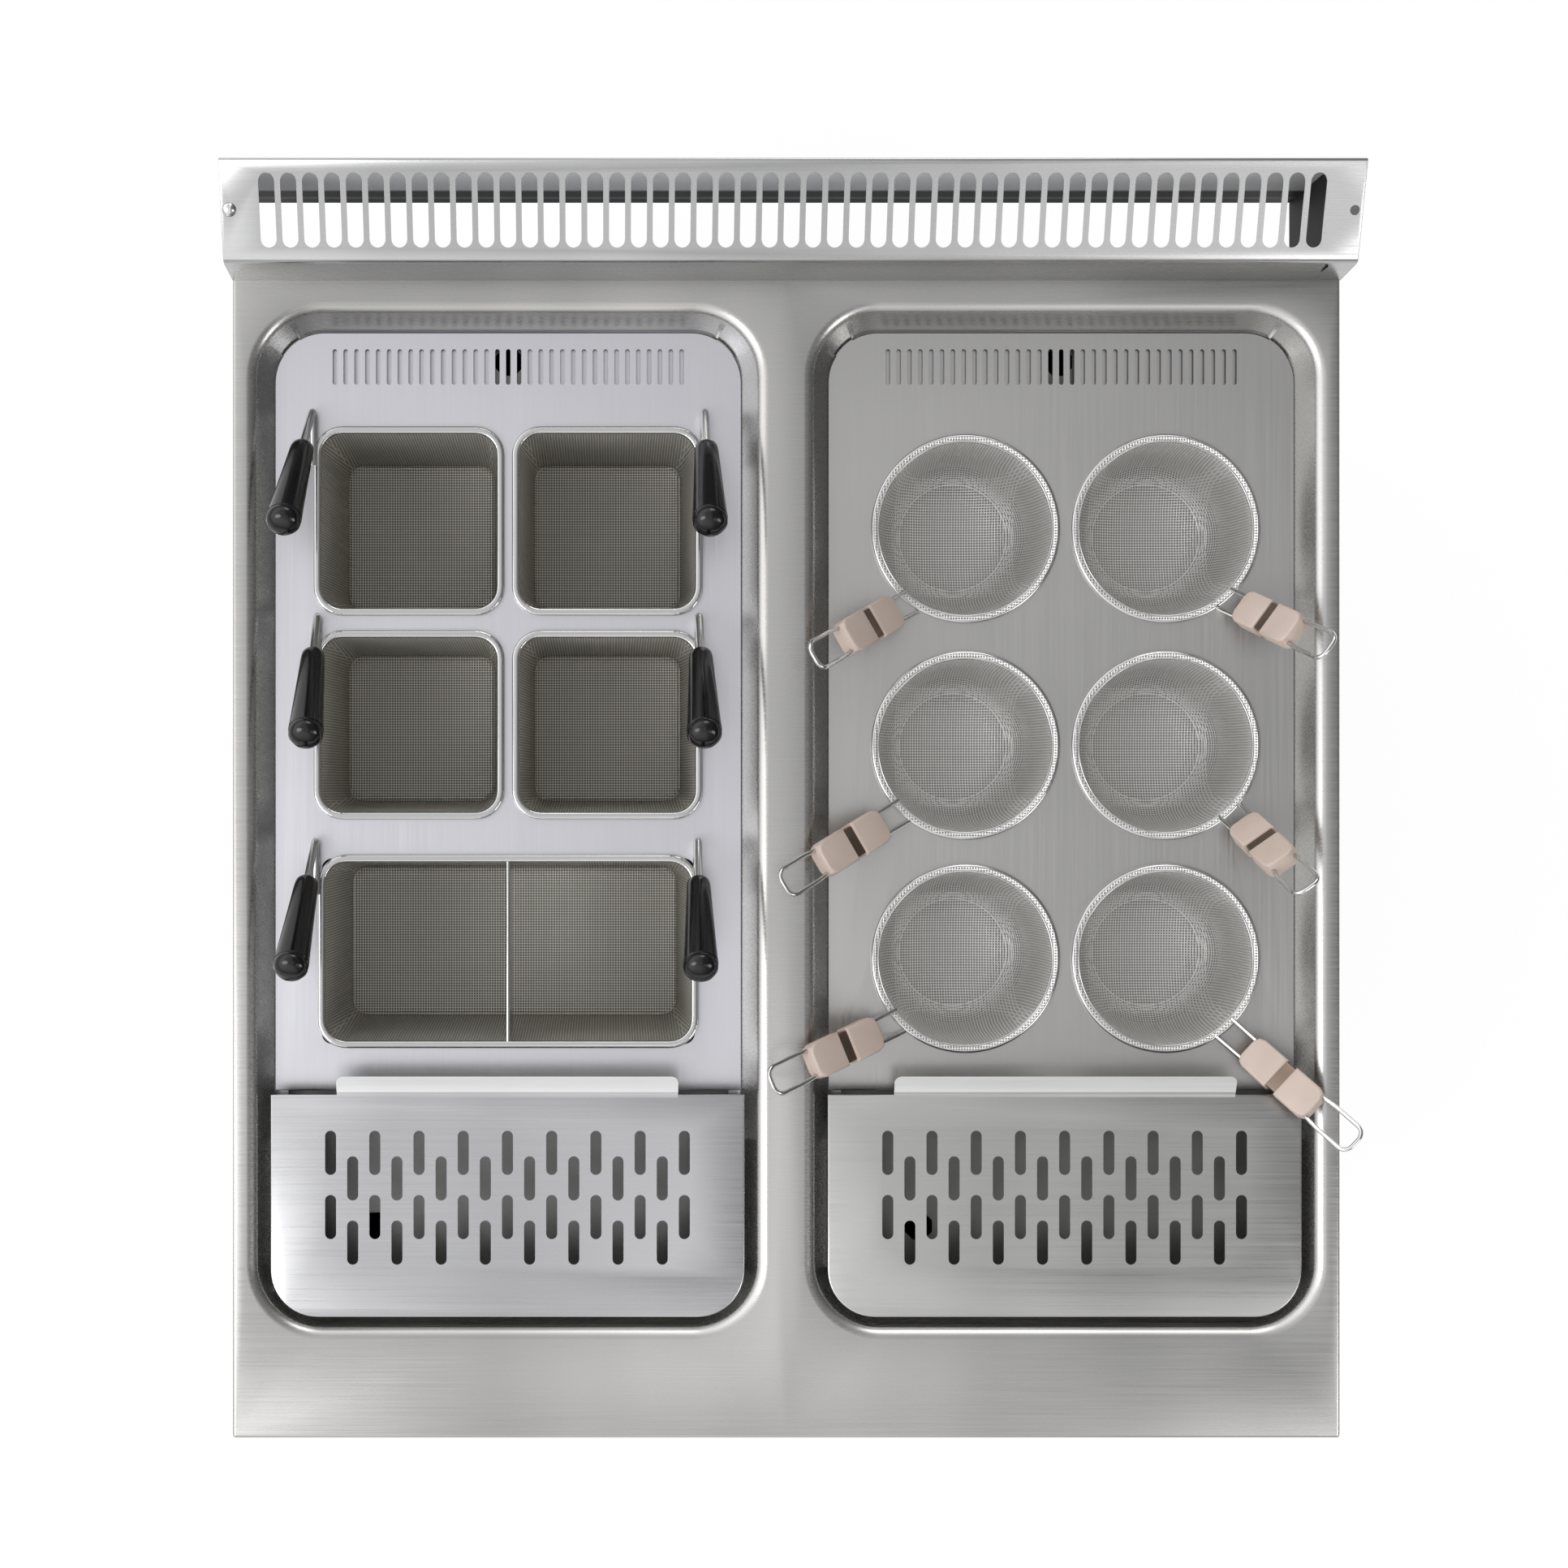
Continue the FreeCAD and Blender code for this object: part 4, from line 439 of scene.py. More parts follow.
def painted_shade_black():
    """Black sheet that paints the shade inside the right end of the flue: deep black and almost
    matt.
    """
    made, tree = new_material("black_painted_shade")
    coat = add_node(tree, "BsdfPrincipled", {"Base Color": paint("#040404"), "Roughness": 0.6,
                                             "Specular IOR Level": 0.15})
    add_node(tree, "OutputMaterial", {"Surface": coat.outputs[0]})
    return made


# Painted shade: a black sheet inside the right end of the flue, under the last slots, where that
# end lies in shade.
end_shade_sheet = block("flue_end_painted_shade", (0.3795, 0.384, 0.762), (0.3805, 0.452, 0.905))
finish_piece(end_shade_sheet, painted_shade_black(), "cabinet", "steel_worktop")


def lathe(name, profile, steps):
    """Turns a profile of (radius, height) points about Z."""
    mesh = bpy.data.meshes.new(name)
    edges = [(i, i + 1) for i in range(len(profile) - 1)]
    mesh.from_pydata([(r, 0, z) for r, z in profile], edges, [])
    made = bpy.data.objects.new(name, mesh)
    bpy.context.scene.collection.objects.link(made)
    pick(made, "VERT", lambda p: True)
    bpy.ops.mesh.spin(steps=steps, angle=math.tau, center=(0, 0, 0), axis=(0, 0, 1))
    bpy.ops.mesh.select_all(action="SELECT")
    bpy.ops.mesh.remove_doubles(threshold=0.00001)
    bpy.ops.mesh.normals_make_consistent(inside=False)
    done()
    return made


def set_down(piece, matrix):
    """Puts a finished piece in its place, with the place in its mesh."""
    piece.data.transform(matrix)
    return piece


def polished_steel(name, colour, roughness):
    """Drawn stainless wire and rod, barrelled bright: sharp reflections, faint drawing marks."""
    made, tree = new_material(name)
    place = add_node(tree, "TexCoord")
    marks = add_node(tree, "TexNoise", {"Vector": place.outputs["Object"], "Scale": 420,
                                        "Detail": 2})
    rough = add_node(tree, "MapRange", {0: marks.outputs[0], 1: 0.3, 2: 0.7,
                                        3: roughness - 0.03, 4: roughness + 0.05})
    steel = add_node(tree, "BsdfPrincipled", {"Base Color": paint(colour), "Metallic": 1,
                                              "Roughness": rough.outputs[0]})
    add_node(tree, "OutputMaterial", {"Surface": steel.outputs[0]})
    return made


bright_steel = polished_steel("bright_drawn_steel", "#C9C9C8", 0.13)
screw = lathe("hood_screw", [
    (0, 0.0022), (0.0022, 0.0020), (0.0042, 0.0012), (0.0050, 0), (0.0028, -0.0004),
    (0.0028, -0.006), (0, -0.006)], 28)
cut_out(screw, block("screw_slit", (-0.006, -0.0005, 0.0009), (0.006, 0.0005, 0.004)))
smooth(screw)
slant = math.atan2(0.036, 0.068)
set_down(screw, Matrix.Translation((-HOLE_X, SLOT_Y, 0.9322)) @ Matrix.Rotation(slant, 4, "X")
         @ Matrix.Rotation(math.radians(70), 4, "Z"))
finish_piece(screw, bright_steel, "cabinet", "steel_wire")

# Holder plates: 2 mm sheets laid on the ledge of each well, rear corners rounded, front edge
# folded down. The left one has square openings for baskets, the right one round openings for
# strainers, and both a row of thin vent slots at the rear.
PLATE = 0.825
PLATE_FRONT = -0.205
PLATE_REAR = 0.3469
VENTS = 33
VENT_PITCH = 0.0079


def joined(parts, name):
    """Makes one piece of several, on the first of them."""
    free()
    for part in parts:
        part.select_set(True)
    bpy.context.view_layer.objects.active = parts[0]
    bpy.ops.object.join()
    parts[0].name = name
    return parts[0]


def holder_plate(name, centre, openings):
    """One plate with its vents, the two vapour baffles under them, its openings and its fold."""
    plate = block(name, (centre - 0.1695, PLATE_FRONT, PLATE - SHEET),
                  (centre + 0.1695, PLATE_REAR, PLATE))
    pick(plate, "EDGE", lambda p: upright(p) and at(p, 1, PLATE_REAR))
    bpy.ops.mesh.bevel(offset=0.036, segments=14, affect="EDGES")
    done()
    vents = round_slot(centre - VENT_PITCH * (VENTS - 1) / 2, 0.3225, PLATE - 0.01, PLATE + 0.01,
                       0.0033, 0.026)
    row_of(vents, VENTS, (VENT_PITCH, 0, 0))
    cut_out(plate, vents)
    for cutter in openings:
        cut_out(plate, cutter)
    baffles = [block("vapour_baffle", (centre + left, 0.3075, PLATE - 0.0065),
                     (centre + right, 0.3375, PLATE - 0.0055))
               for left, right in ((-0.132, -0.0119), (0.0119, 0.132))]
    fold = block("front_fold", (centre - 0.1585, PLATE_FRONT, PLATE - 0.012),
                 (centre + 0.1585, PLATE_FRONT + SHEET, PLATE - 0.0019))
    plate = joined([plate, fold] + baffles, name)
    pick(plate, "EDGE", lambda p: at(p, 2, PLATE) and at(p, 1, PLATE_FRONT, 0.0004)
         and span(p, 0) > 0.01)
    bpy.ops.mesh.bevel(offset=0.0012, segments=3, affect="EDGES")
    done()
    smooth(plate)
    return plate


def rounded_cutter(x, y, width, length, radius):
    """Cutter for one basket opening."""
    made = block("opening_cutter", (x - width / 2, y - length / 2, PLATE - 0.01),
                 (x + width / 2, y + length / 2, PLATE + 0.01))
    pick(made, "EDGE", upright)
    bpy.ops.mesh.bevel(offset=radius, segments=8, affect="EDGES")
    done()
    return made


BASKETS = ((-0.07225, 0.210), (0.07225, 0.210), (-0.07225, 0.0615), (0.07225, 0.0615))
WIDE_Y = -0.1035
openings = [rounded_cutter(-WELL_X + x, y, 0.132, 0.131, 0.016) for x, y in BASKETS]
openings.append(rounded_cutter(-WELL_X, WIDE_Y, 0.272, 0.1355, 0.008))
basket_plate = holder_plate("basket_holder_plate", -WELL_X, openings)
STRAINERS = ((0.1316, 0.2045), (0.2776, 0.2045), (0.1316, 0.0465), (0.2776, 0.0465),
             (0.1316, -0.1087), (0.2776, -0.1087))
openings = []
for x, y in STRAINERS:
    free()
    bpy.ops.mesh.primitive_cylinder_add(vertices=96, radius=0.066, depth=0.02,
                                        location=(x, y, PLATE))
    openings.append(bpy.context.object)
strainer_plate = holder_plate("strainer_holder_plate", WELL_X, openings)
# The basket plate is the same fine brushed steel as the strainer plate, painted lighter: a painted
# highlight of the light over the left well.
basket_plate_painted_highlight = brushed_steel("fine_brushed_steel_painted_highlight", "#CACACE", 0.34, 1, 0.04)
dark_plate_steel = brushed_steel("fine_brushed_steel", "#B4B3B1", 0.32, 1, 0.06)
finish_piece(basket_plate, basket_plate_painted_highlight, "basket_plate", "steel_plate", "basket_plate")
finish_piece(strainer_plate, dark_plate_steel, "strainer_plate", "steel_plate", "strainer_plate")

# Drain plates: 2 mm sheets on two folded legs that stand on the ledge in front of the holder
# plates. Front corners are rounded, four staggered rows of slots let water through, and a tab
# bent up along the rear edge is the grip.
DRAIN = 0.845
DRAIN_REAR = -0.2065
DRAIN_FRONT = DRAIN_REAR - 0.161
DRAIN_PITCH = 0.032


def drain_plate(name, centre):
    """One plate with its slots, its two legs and its grip tab."""
    plate = block(name, (centre - 0.1715, DRAIN_FRONT, DRAIN - SHEET),
                  (centre + 0.1715, DRAIN_REAR, DRAIN))
    pick(plate, "EDGE", lambda p: upright(p) and at(p, 1, DRAIN_FRONT))
    bpy.ops.mesh.bevel(offset=0.034, segments=12, affect="EDGES")
    done()
    for columns, first in ((9, -0.2485), (8, -0.267)):
        for row in (0, 1):
            x = centre - DRAIN_PITCH * (columns - 1) / 2
            slots = round_slot(x, first - 0.0465 * row, DRAIN - 0.01, DRAIN + 0.01, 0.008, 0.032)
            row_of(slots, columns, (DRAIN_PITCH, 0, 0))
            cut_out(plate, slots)
    pick(plate, "EDGE", lambda p: at(p, 2, DRAIN) and all(
        abs(q.x - centre) > 0.1709 or q.y < -0.333 or q.y > DRAIN_REAR - 0.0005 for q in p))
    bpy.ops.mesh.bevel(offset=0.0011, segments=3, affect="EDGES")
    done()
    legs = [block("leg", (x - 0.001, -0.3335, 0.823), (x + 0.001, -0.2405, DRAIN - 0.001))
            for x in (centre - 0.164, centre + 0.164)]
    tab = block("tab", (centre - 0.1235, DRAIN_REAR - SHEET, DRAIN - SHEET),
                (centre + 0.1235, DRAIN_REAR, DRAIN))
    pick(tab, "FACE", lambda p: at(p, 1, DRAIN_REAR))
    bpy.ops.mesh.extrude_region_move(TRANSFORM_OT_translate={"value": (0, 0.014, 0.011)})
    done()
    pick(tab, "EDGE", lambda p: span(p, 0) < 0.001 and min(q.y for q in p) > DRAIN_REAR + 0.013)
    bpy.ops.mesh.bevel(offset=0.005, segments=5, affect="EDGES")
    pick(tab, "EDGE", lambda p: span(p, 0) > 0.1 and at(p, 1, DRAIN_REAR))
    bpy.ops.mesh.bevel(offset=0.0025, segments=4, affect="EDGES")
    done()
    plate = joined([plate, tab] + legs, name)
    smooth(plate)
    return plate


def paint_tab_highlight(plate, steel):
    """The tab gets a near-white steel: a painted highlight where it catches the light."""
    plate.data.materials.append(steel)
    for face in plate.data.polygons:
        if face.center.y > -0.2035:
            face.material_index = 1


left_drain = drain_plate("drain_plate_sheet_left", -WELL_X)
right_drain = drain_plate("drain_plate_sheet_right", WELL_X)
finish_piece(left_drain, brushed_steel("brushed_drain_steel_left", "#B6B6B7", 0.29, 0, 0.14),
             "drain_plate_left", "steel_plate", "drain_plate_left")
finish_piece(right_drain, brushed_steel("brushed_drain_steel_right", "#B3B3B1", 0.30, 0, 0.12),
             "drain_plate_right", "steel_plate", "drain_plate_right")
# Painted highlight: the near-white steel of the bent-up grip tabs.
tab_highlight_steel = brushed_steel("tab_painted_highlight_steel", "#F6F6F5", 0.36, 0, 0.05)
paint_tab_highlight(left_drain, tab_highlight_steel)
paint_tab_highlight(right_drain, tab_highlight_steel)

# Baskets: woven stainless mesh, pressed into a tapered tub and welded to a round-edged frame.
# A bent 6 mm rod is welded along the frame's side, turns back at the rear corner and rises into
# a turned black plastic grip. The wide one has a sheet divider and two handles.
MESH_PITCH = 0.002


def woven_mesh(name, wire, gap):
    """Plain woven stainless wire cloth, 2 mm pitch: bright rounded wires, with the openings between
    them painted in the gap colour, a painted shade for the dark seen through the holes.
    """
    made, tree = new_material(name)
    place = add_node(tree, "TexCoord")
    where = add_node(tree, "SeparateXYZ", {0: place.outputs["Object"]})
    shape = add_node(tree, "NewGeometry")
    facing = add_node(tree, "SeparateXYZ", {0: shape.outputs["Normal"]})
    wires = []
    for axis in "XYZ":
        turn = add_node(tree, "Math", {0: where.outputs[axis], 1: math.tau / MESH_PITCH},
                        operation="MULTIPLY")
        wave = add_node(tree, "Math", {0: turn.outputs[0]}, operation="COSINE")
        flat = add_node(tree, "Math", {0: facing.outputs[axis]}, operation="ABSOLUTE")
        fade = add_node(tree, "MapRange", {0: flat.outputs[0], 1: 0.75, 2: 0.9, 3: 0, 4: 2.2})
        wires.append(add_node(tree, "Math", {0: wave.outputs[0], 1: fade.outputs[0]},
                              operation="SUBTRACT"))
    top = add_node(tree, "Math", {0: wires[0].outputs[0], 1: wires[1].outputs[0]},
                   operation="MAXIMUM")
    top = add_node(tree, "Math", {0: top.outputs[0], 1: wires[2].outputs[0]}, operation="MAXIMUM")
    show = add_node(tree, "MapRange", {0: top.outputs[0], 1: 0.35, 2: 0.65})
    tint = add_node(tree, "MixRGB", {0: show.outputs[0], 1: paint(gap), 2: paint(wire)})
    bump = add_node(tree, "Bump", {"Height": top.outputs[0], "Strength": 0.7, "Distance": 0.0004})
    metal = add_node(tree, "BsdfPrincipled", {"Base Color": tint.outputs[0], "Metallic": 0.75,
                                              "Roughness": 0.42, "Normal": bump.outputs[0]})
    add_node(tree, "OutputMaterial", {"Surface": metal.outputs[0]})
    return made


def frame_ring(name, x, y, width, length, radius, band, z0, z1):
    """A closed frame of rounded section, following a rounded rectangle."""
    ring = block(name, (x - width / 2, y - length / 2, z0), (x + width / 2, y + length / 2, z1))
    pick(ring, "EDGE", upright)
    bpy.ops.mesh.bevel(offset=radius, segments=8, affect="EDGES")
    pick(ring, "FACE", lambda p: at(p, 2, z0) or at(p, 2, z1))
    bpy.ops.mesh.inset(thickness=band, use_even_offset=True)
    bpy.ops.mesh.bridge_edge_loops()
    pick(ring, "EDGE", lambda p: at(p, 2, z0) or at(p, 2, z1))
    bpy.ops.mesh.bevel(offset=min(band, z1 - z0) * 0.34, segments=3, affect="EDGES")
    done()
    smooth(ring, 50)
    return ring


def basket_tub(name, x, y, width, length):
    """The pressed mesh: narrower at its bottom, with rounded corners and an open top."""
    bottom, mouth, taper = PLATE - 0.186, PLATE + 0.002, 0.013
    tub = block(name, (x - width / 2, y - length / 2, bottom),
                (x + width / 2, y + length / 2, mouth))
    pick(tub, "EDGE", upright)
    bpy.ops.mesh.bevel(offset=0.0155, segments=7, affect="EDGES")
    pick(tub, "FACE", lambda p: at(p, 2, bottom))
    bpy.ops.transform.resize(value=((width - taper) / width, (length - taper) / length, 1),
                             center_override=(x, y, bottom))
    pick(tub, "FACE", lambda p: at(p, 2, mouth))
    bpy.ops.mesh.delete(type="FACE")
    pick(tub, "EDGE", lambda p: at(p, 2, bottom))
    bpy.ops.mesh.bevel(offset=0.007, segments=4, affect="EDGES")
    done()
    sheet_walls(tub, 0.0008)
    smooth(tub, 40)
    return tub


def bent_bar(name, points, bend, radius, sides):
    """Wire or rod: a chain of points whose corners are rounded, then given its thickness."""
    mesh = bpy.data.meshes.new(name)
    last = len(points) - 1
    mesh.from_pydata(points, [(i, i + 1) for i in range(last)], [])
    made = bpy.data.objects.new(name, mesh)
    bpy.context.scene.collection.objects.link(made)
    pick(made, "VERT", lambda p: True)
    done()
    for vertex in mesh.vertices:
        vertex.select = vertex.index not in (0, last)
    bpy.ops.object.mode_set(mode="EDIT")
    bpy.ops.mesh.bevel(offset=bend, segments=6, affect="VERTICES")
    done()
    free()
    made.select_set(True)
    bpy.context.view_layer.objects.active = made
    bpy.ops.object.convert(target="CURVE")
    made.data.bevel_depth = radius
    made.data.bevel_resolution = sides // 4
    made.data.use_fill_caps = True
    bpy.ops.object.convert(target="MESH")
    smooth(made, 60)
    return made


def black_grip_plastic():
    """Glossy black phenolic plastic, moulded and polished: deep black with clear reflections."""
    made, tree = new_material("glossy_black_phenolic")
    place = add_node(tree, "TexCoord")
    wear = add_node(tree, "TexNoise", {"Vector": place.outputs["Object"], "Scale": 130,
                                       "Detail": 3})
    rough = add_node(tree, "MapRange", {0: wear.outputs[0], 1: 0.35, 2: 0.7, 3: 0.08, 4: 0.2})
    plastic = add_node(tree, "BsdfPrincipled", {
        "Base Color": paint("#0C0C0E"), "Roughness": rough.outputs[0], "Specular IOR Level": 0.4})
    add_node(tree, "OutputMaterial", {"Surface": plastic.outputs[0]})
    return made


# The gap colours are painted shade for what is seen through the openings of the cloth.
basket_mesh = woven_mesh("woven_basket_mesh", "#E4E1DA", "#7A766E")
rim_steel = polished_steel("polished_rim_steel", "#BEBEBD", 0.14)
grip_black = black_grip_plastic()
GRIP = [(0, -0.001), (0.0070, -0.001), (0.0083, 0.001), (0.0088, 0.006), (0.0096, 0.025),
        (0.0108, 0.050), (0.0118, 0.070), (0.0124, 0.080), (0.01255, 0.0822), (0.0119, 0.0829),
        (0.0124, 0.0837), (0.0122, 0.0870), (0.0100, 0.0905), (0.0058, 0.0922), (0, 0.0926)]


def basket_handle(name, x, y, half_width, half_length, side, offset, spread, body):
    """A rod along one side of the frame that rises towards the front into the turned grip."""
    lift = math.radians(48)
    turn = math.radians(spread)
    z = PLATE + 0.0058
    ahead = Vector((side * math.sin(turn), -math.cos(turn), 0))
    corner = Vector((x + side * (half_width + offset), y + half_length + 0.014, z))
    foot = Vector((corner.x, y + half_length - 0.029, z))
    slope = ahead * math.cos(lift) + Vector((0, 0, math.sin(lift)))
    rod = bent_bar(name + "_rod", [foot, corner, corner + slope * 0.080], 0.010, 0.003, 16)
    finish_piece(rod, bright_steel, body, "steel_wire")
    grip = lathe(name + "_grip_turned", GRIP, 36)
    smooth(grip, 40)
    upward = slope.to_track_quat("Z", "X").to_matrix().to_4x4()
    set_down(grip, Matrix.Translation(corner + slope * 0.050) @ upward)
    return finish_piece(grip, grip_black, body, "grip_dark")


def basket(number, x, y, width, length, handles):
    """One basket: frame, tub and a handle for each side, shift and turn that is given."""
    body = "basket_%d" % number
    x -= WELL_X
    ring = frame_ring(body + "_frame", x, y, width, length, 0.021, 0.0055, PLATE, PLATE + 0.005)
    finish_piece(ring, rim_steel, body, "steel_wire", body)
    tub = basket_tub(body + "_mesh", x, y, width - 0.009, length - 0.009)
    finish_piece(tub, basket_mesh, body, "steel_mesh")
    for count, (side, offset, spread) in enumerate(handles):
        grip = basket_handle("%s_handle_%d" % (body, count), x, y, width / 2, length / 2,
                             side, offset, spread, body)
        if count == 0:
            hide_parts(body + "_grip")


HANDLES = ((-1, 0.0, 8), (1, 0.001, 1), (-1, -0.003, 0), (1, -0.003, 1))
for number, ((x, y), handle) in enumerate(zip(BASKETS, HANDLES), 1):
    basket(number, x, y, 0.139, 0.138, (handle,))
basket(5, 0, WIDE_Y, 0.2775, 0.141, ((-1, 0.001, 6), (1, -0.001, 0)))
divider = block("basket_5_divider", (-WELL_X - 0.0015, WIDE_Y - 0.0655, 0.742),
                (-WELL_X + 0.0015, WIDE_Y + 0.0655, 0.8295))
pick(divider, "EDGE", lambda p: at(p, 2, 0.8295) and span(p, 1) > 0.01)
bpy.ops.mesh.bevel(offset=0.0012, segments=3, affect="EDGES")
done()
smooth(divider)
finish_piece(divider, rim_steel, "basket_5", "steel_wire")

# Strainers: deep bowls of the same wire cloth on a round wire rim, each with a hairpin wire
# handle that ends in a hanging loop. A two-block beige plastic clamp is snapped round the wires.
# The strainers lie as they were put down, so every handle points its own way.
strainer_mesh = woven_mesh("woven_strainer_mesh", "#F2F1EF", "#989693")


def beige_plastic():
    """Beige heat resistant nylon, moulded: matt skin with a fine spark-eroded grain."""
    made, tree = new_material("beige_moulded_nylon")
    place = add_node(tree, "TexCoord")
    grain = add_node(tree, "TexNoise", {"Vector": place.outputs["Object"], "Scale": 900,
                                        "Detail": 3})
    cloud = add_node(tree, "TexNoise", {"Vector": place.outputs["Object"], "Scale": 45,
                                        "Detail": 2})
    tint = add_node(tree, "MixRGB", {0: cloud.outputs[0], 1: paint("#AE9E94"),
                                     2: paint("#BEAEA3")})
    bump = add_node(tree, "Bump", {"Height": grain.outputs[0], "Strength": 0.12,
                                   "Distance": 0.0002})
    plastic = add_node(tree, "BsdfPrincipled", {"Base Color": tint.outputs[0], "Roughness": 0.46,
                                                "Normal": bump.outputs[0]})
    add_node(tree, "OutputMaterial", {"Surface": plastic.outputs[0]})
    return made


nylon = beige_plastic()
band_steel = polished_steel("brown_tinted_steel_band", "#7A6B60", 0.35)
BOWL = [(0.0672, 0.0032), (0.0655, 0.0030), (0.0635, 0.0000), (0.0628, -0.012), (0.0615, -0.035),
        (0.0590, -0.062), (0.0530, -0.086), (0.0420, -0.101), (0.0280, -0.1085),
        (0.0130, -0.1115), (0, -0.112)]


def strainer(number, x, y, rim_turn, turn, lift):
    """One strainer: rim_turn is where the handle leaves the rim, turn and lift where it points."""
    body = "strainer_%d" % number
    bowl = lathe(body + "_bowl", BOWL, 64)
    sheet_walls(bowl, 0.0008)
    smooth(bowl, 60)
    set_down(bowl, Matrix.Translation((x, y, PLATE)))
    finish_piece(bowl, strainer_mesh, body, "steel_mesh", body)
    rings = []
    for major, minor, z in ((0.0670, 0.0020, 0.0020), (0.0636, 0.0007, 0.0026)):
        free()
        bpy.ops.mesh.primitive_torus_add(major_radius=major, minor_radius=minor, major_segments=96,
                                         minor_segments=12, location=(x, y, PLATE + z))
        bpy.ops.object.transform_apply()
        rings.append(bpy.context.object)
    rim = joined(rings, body + "_rim")
    smooth(rim, 60)
    finish_piece(rim, rim_steel, body, "steel_wire")
    rise = math.radians(lift)
    heading = math.radians(turn)
    ahead = Vector((math.cos(heading), math.sin(heading), 0))
    along = ahead * math.cos(rise) + Vector((0, 0, math.sin(rise)))
    across = Vector((-ahead.y, ahead.x, 0))
    up = along.cross(across)
    leave = math.radians(rim_turn)
    start = Vector((x, y, PLATE + 0.0035)) + Vector((math.cos(leave), math.sin(leave), 0)) * 0.067
    plan = ((-0.002, 0.0086), (0.079, 0.0076), (0.095, 0.0104), (0.1272, 0.0104),
            (0.1272, -0.0104), (0.095, -0.0104), (0.079, -0.0076), (-0.002, -0.0086))
    wire = bent_bar(body + "_hairpin", [start + along * p + across * q for p, q in plan],
                    0.0072, 0.0016, 12)
    finish_piece(wire, bright_steel, body, "steel_wire")
    where = Matrix((along, across, up)).transposed().to_4x4()
    where = Matrix.Translation(start + along * 0.056) @ where
    blocks = []
    for side in (-1, 1):
        inner, outer = sorted((side * 0.0042, side * 0.033))
        part = block("clamp_block", (inner, -0.013, -0.0065), (outer, 0.013, 0.0065))
        pick(part, "EDGE", lambda p: upright(p) and abs(p[0].x) > 0.02)
        bpy.ops.mesh.bevel(offset=0.0065, segments=2, affect="EDGES")
        pick(part, "EDGE", lambda p: span(p, 2) < 0.0001)
        bpy.ops.mesh.bevel(offset=0.0018, segments=3, affect="EDGES")
        done()
        blocks.append(part)
    core = block("clamp_core", (-0.006, -0.0112, -0.0048), (0.006, 0.0112, 0.0048))
    pick(core, "EDGE", lambda p: span(p, 0) > 0.004)
    bpy.ops.mesh.bevel(offset=0.001, segments=2, affect="EDGES")
    done()
    clamp = joined(blocks, body + "_clamp_grip")
    smooth(clamp, 40)
    set_down(clamp, where)
    finish_piece(clamp, nylon, body, "grip_beige", body + "_grip")
    core.name = body + "_clamp_band"
    smooth(core, 40)
    set_down(core, where)
    finish_piece(core, band_steel, body, "steel_plain")


LAID = ((-127, -150, 47), (-50, -36, 58), (-134, -150, 36),
        (-46, -55, 60), (-137, -158, 36), (-50, -43, 27))
for number, ((x, y), (rim_turn, turn, lift)) in enumerate(zip(STRAINERS, LAID), 1):
    strainer(number, x, y, rim_turn, turn, lift)

# Cabinet and works: the CAD pieces under the worktop keep their shapes and get their finishes:
# brushed steel outside and in the tanks, zinc plated sheet behind, and plastic, brass and vinyl
# on the fittings.
tank_steel = brushed_steel("satin_tank_steel", "#9C9C9A", 0.36, 2, 0.08)
panel_steel = brushed_steel("brushed_panel_steel", "#B4B4B2", 0.33, 2, 0.04)
zinc = brushed_steel("zinc_plated_steel", "#A5A8AA", 0.42, 0, 0.1)
plain_steel = brushed_steel("plain_turned_steel", "#A8A8A7", 0.35, 2, 0.06)
sheath = polished_steel("oxidised_heater_sheath", "#5E5A55", 0.42)
brass = polished_steel("cast_brass", "#B79A5A", 0.32)


def moulded(name, colour, roughness):
    """Moulded plastic with a fine matt grain of about 1 mm."""
    made, tree = new_material(name)
    place = add_node(tree, "TexCoord")
    grain = add_node(tree, "TexNoise", {"Vector": place.outputs["Object"], "Scale": 1000,
                                        "Detail": 2})
    bump = add_node(tree, "Bump", {"Height": grain.outputs[0], "Strength": 0.1, "Distance": 0.0002})
    plastic = add_node(tree, "BsdfPrincipled", {"Base Color": paint(colour), "Roughness": roughness,
                                                "Normal": bump.outputs[0]})
    add_node(tree, "OutputMaterial", {"Surface": plastic.outputs[0]})
    return made


black = moulded("satin_black_plastic", "#1B1B1C", 0.38)
grey = moulded("grey_abs", "#A4A7A7", 0.45)
red = moulded("red_dipped_vinyl", "#A32119", 0.4)
for finish, nodes in (
        (tank_steel, ("tank_left", "tank_right")),
        (panel_steel, ("side_panel_left", "side_panel_right", "front_frame", "control_panel",
                       "door_left", "door_right")),
        (zinc, ("back_panel", "base_tray")),
        (plain_steel, ("door_hinges", "drain_pipe_left", "drain_pipe_right", "drain_manifold")),
        (sheath, ("heater_left", "heater_right")),
        (brass, ("water_fill_line",)),
        (black, ("heat_switches",)),
        (grey, ("terminal_box", "cable_gland")),
        (red, ("drain_lever_left", "drain_lever_right"))):
    for node in nodes:
        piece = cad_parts[node]
        piece.data.materials.clear()
        piece.data.materials.append(finish)

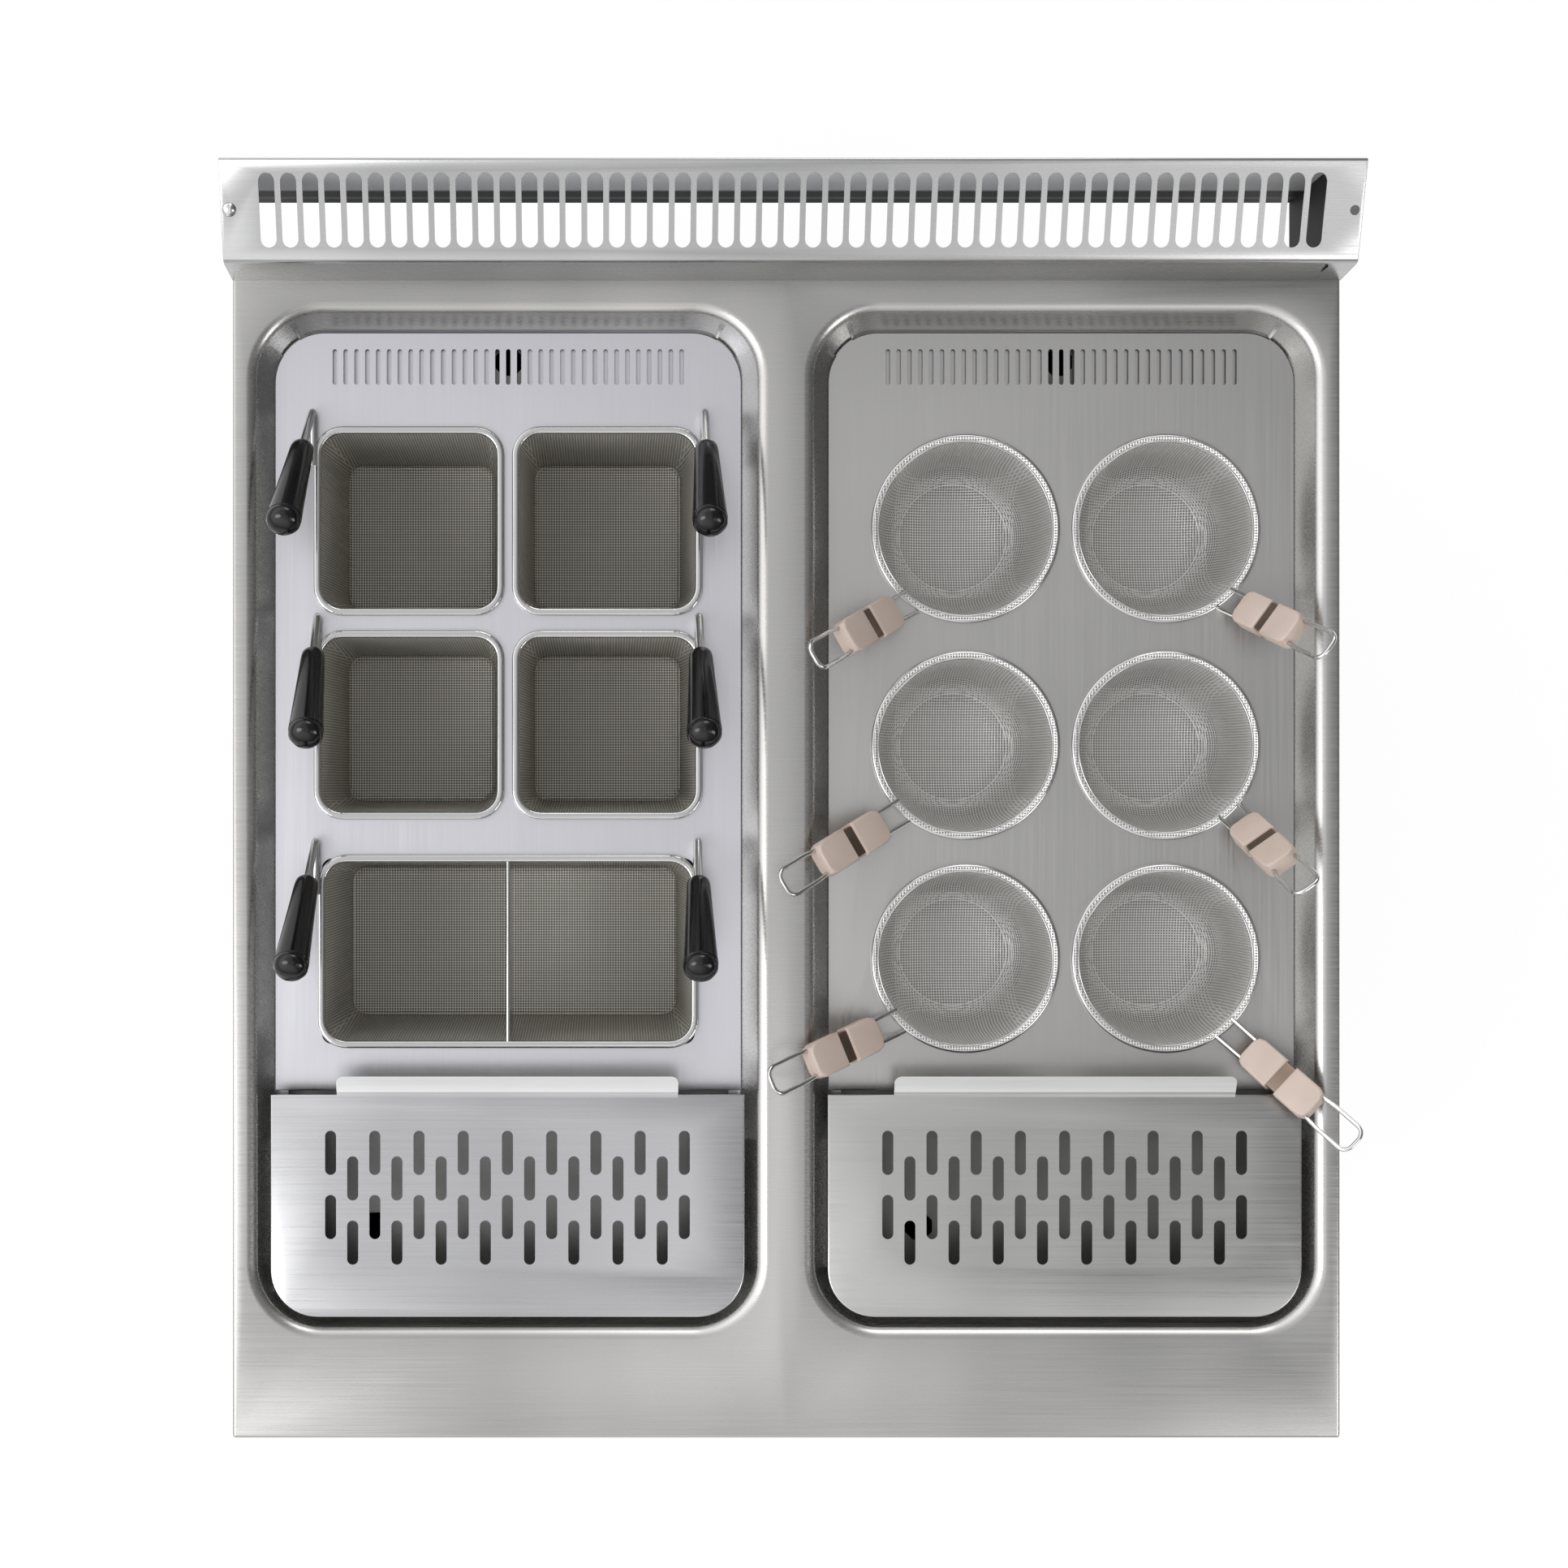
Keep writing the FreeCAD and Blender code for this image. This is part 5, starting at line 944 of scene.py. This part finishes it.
# Legs and feet: turned steel tubes with a welded plate under the base tray, and a foot that
# screws out of each.
LEG_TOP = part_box("leg_tubes")[1][2]
LEG_PLATE = LEG_TOP - 0.003
LEG_PLUG = LEG_TOP - 0.0105
TUBE = [(0, LEG_PLATE), (0.0246, LEG_PLATE), (0.0246, 0.0452), (0.0204, 0.0452),
        (0.0204, LEG_PLUG), (0, LEG_PLUG)]
FOOT = [(0, 0), (0.029, 0), (0.0307, 0.0015), (0.0307, 0.008), (0.0285, 0.0118),
        (0.0198, 0.0200), (0.0198, 0.0360), (0.0238, 0.0390), (0.0238, 0.0449),
        (0.0195, 0.0449), (0.0195, 0.1300), (0, 0.1300)]
tubes = []
for foot, x, y in (("front_left", -0.34, -0.35), ("front_right", 0.34, -0.35),
                   ("rear_left", -0.34, 0.33), ("rear_right", 0.34, 0.33)):
    tube = lathe("leg_tube", TUBE, 40)
    set_down(tube, Matrix.Translation((x, y, 0)))
    plate = block("leg_plate", (x - 0.036, y - 0.036, LEG_PLATE), (x + 0.036, y + 0.036, LEG_TOP))
    pick(plate, "EDGE", upright)
    bpy.ops.mesh.bevel(offset=0.004, segments=3, affect="EDGES")
    done()
    tubes += [tube, plate]
    pad = lathe("foot_" + foot + "_turned", FOOT, 40)
    set_down(pad, Matrix.Translation((x, y, 0)))
    smooth(pad, 25)
    finish_piece(pad, plain_steel, "foot_" + foot, "steel_plain", "foot_" + foot)
legs = joined(tubes, "leg_tubes_turned")
smooth(legs, 25)
finish_piece(legs, plain_steel, "cabinet", "steel_plain", "leg_tubes")

# Knobs and pilot lamps: turned skirts with two flats for the fingers and a white filled mark that
# points up at rest, and amber lenses, all square to the leaning control panel.
lens = moulded("amber_lamp_lens", "#E0762A", 0.15)
white = moulded("white_filled_mark", "#E6E6E4", 0.5)
PANEL = Matrix.Translation((0, -0.4095, 0.7545)) @ Matrix.Rotation(math.atan2(0.101, 0.029), 4, "X")
KNOB = [(0, -0.030), (0.0039, -0.030), (0.0039, 0), (0.0228, 0), (0.0228, 0.0038),
        (0.0208, 0.0058), (0.0179, 0.0065), (0.0161, 0.0240), (0.0150, 0.0255), (0, 0.0258)]
LAMP = [(0, -0.012), (0.0035, -0.012), (0.0035, 0), (0.0059, 0), (0.0059, 0.0022),
        (0.0052, 0.0032), (0.0030, 0.0039), (0, 0.0040)]
for name, x in (("heat_knob_left", -WELL_X - 0.06), ("fill_knob_left", -WELL_X + 0.06),
                ("heat_knob_right", WELL_X - 0.06), ("fill_knob_right", WELL_X + 0.06)):
    knob = lathe(name + "_turned", KNOB, 48)
    for low, high in ((-0.024, -0.0078), (0.0078, 0.024)):
        cut_out(knob, block("finger_flat", (low, -0.024, 0.009), (high, 0.024, 0.03)))
    smooth(knob, 30)
    here = PANEL @ Matrix.Translation((x, 0, 0.0006))
    set_down(knob, here)
    finish_piece(knob, black, name, "knob_black", name)
    mark = block(name + "_mark", (-0.0009, 0.0046, 0.0245), (0.0009, 0.0140, 0.0259))
    set_down(mark, here)
    finish_piece(mark, white, name, "knob_black")
lamps = []
for x in (-WELL_X - 0.011, -WELL_X + 0.011, WELL_X - 0.011, WELL_X + 0.011):
    lamp = lathe("lamp", LAMP, 32)
    set_down(lamp, PANEL @ Matrix.Translation((x, 0.014, 0)))
    lamps.append(lamp)
lamps = joined(lamps, "pilot_lamp_lenses")
smooth(lamps, 30)
finish_piece(lamps, lens, "cabinet", "lamp_lens", "pilot_lamps")
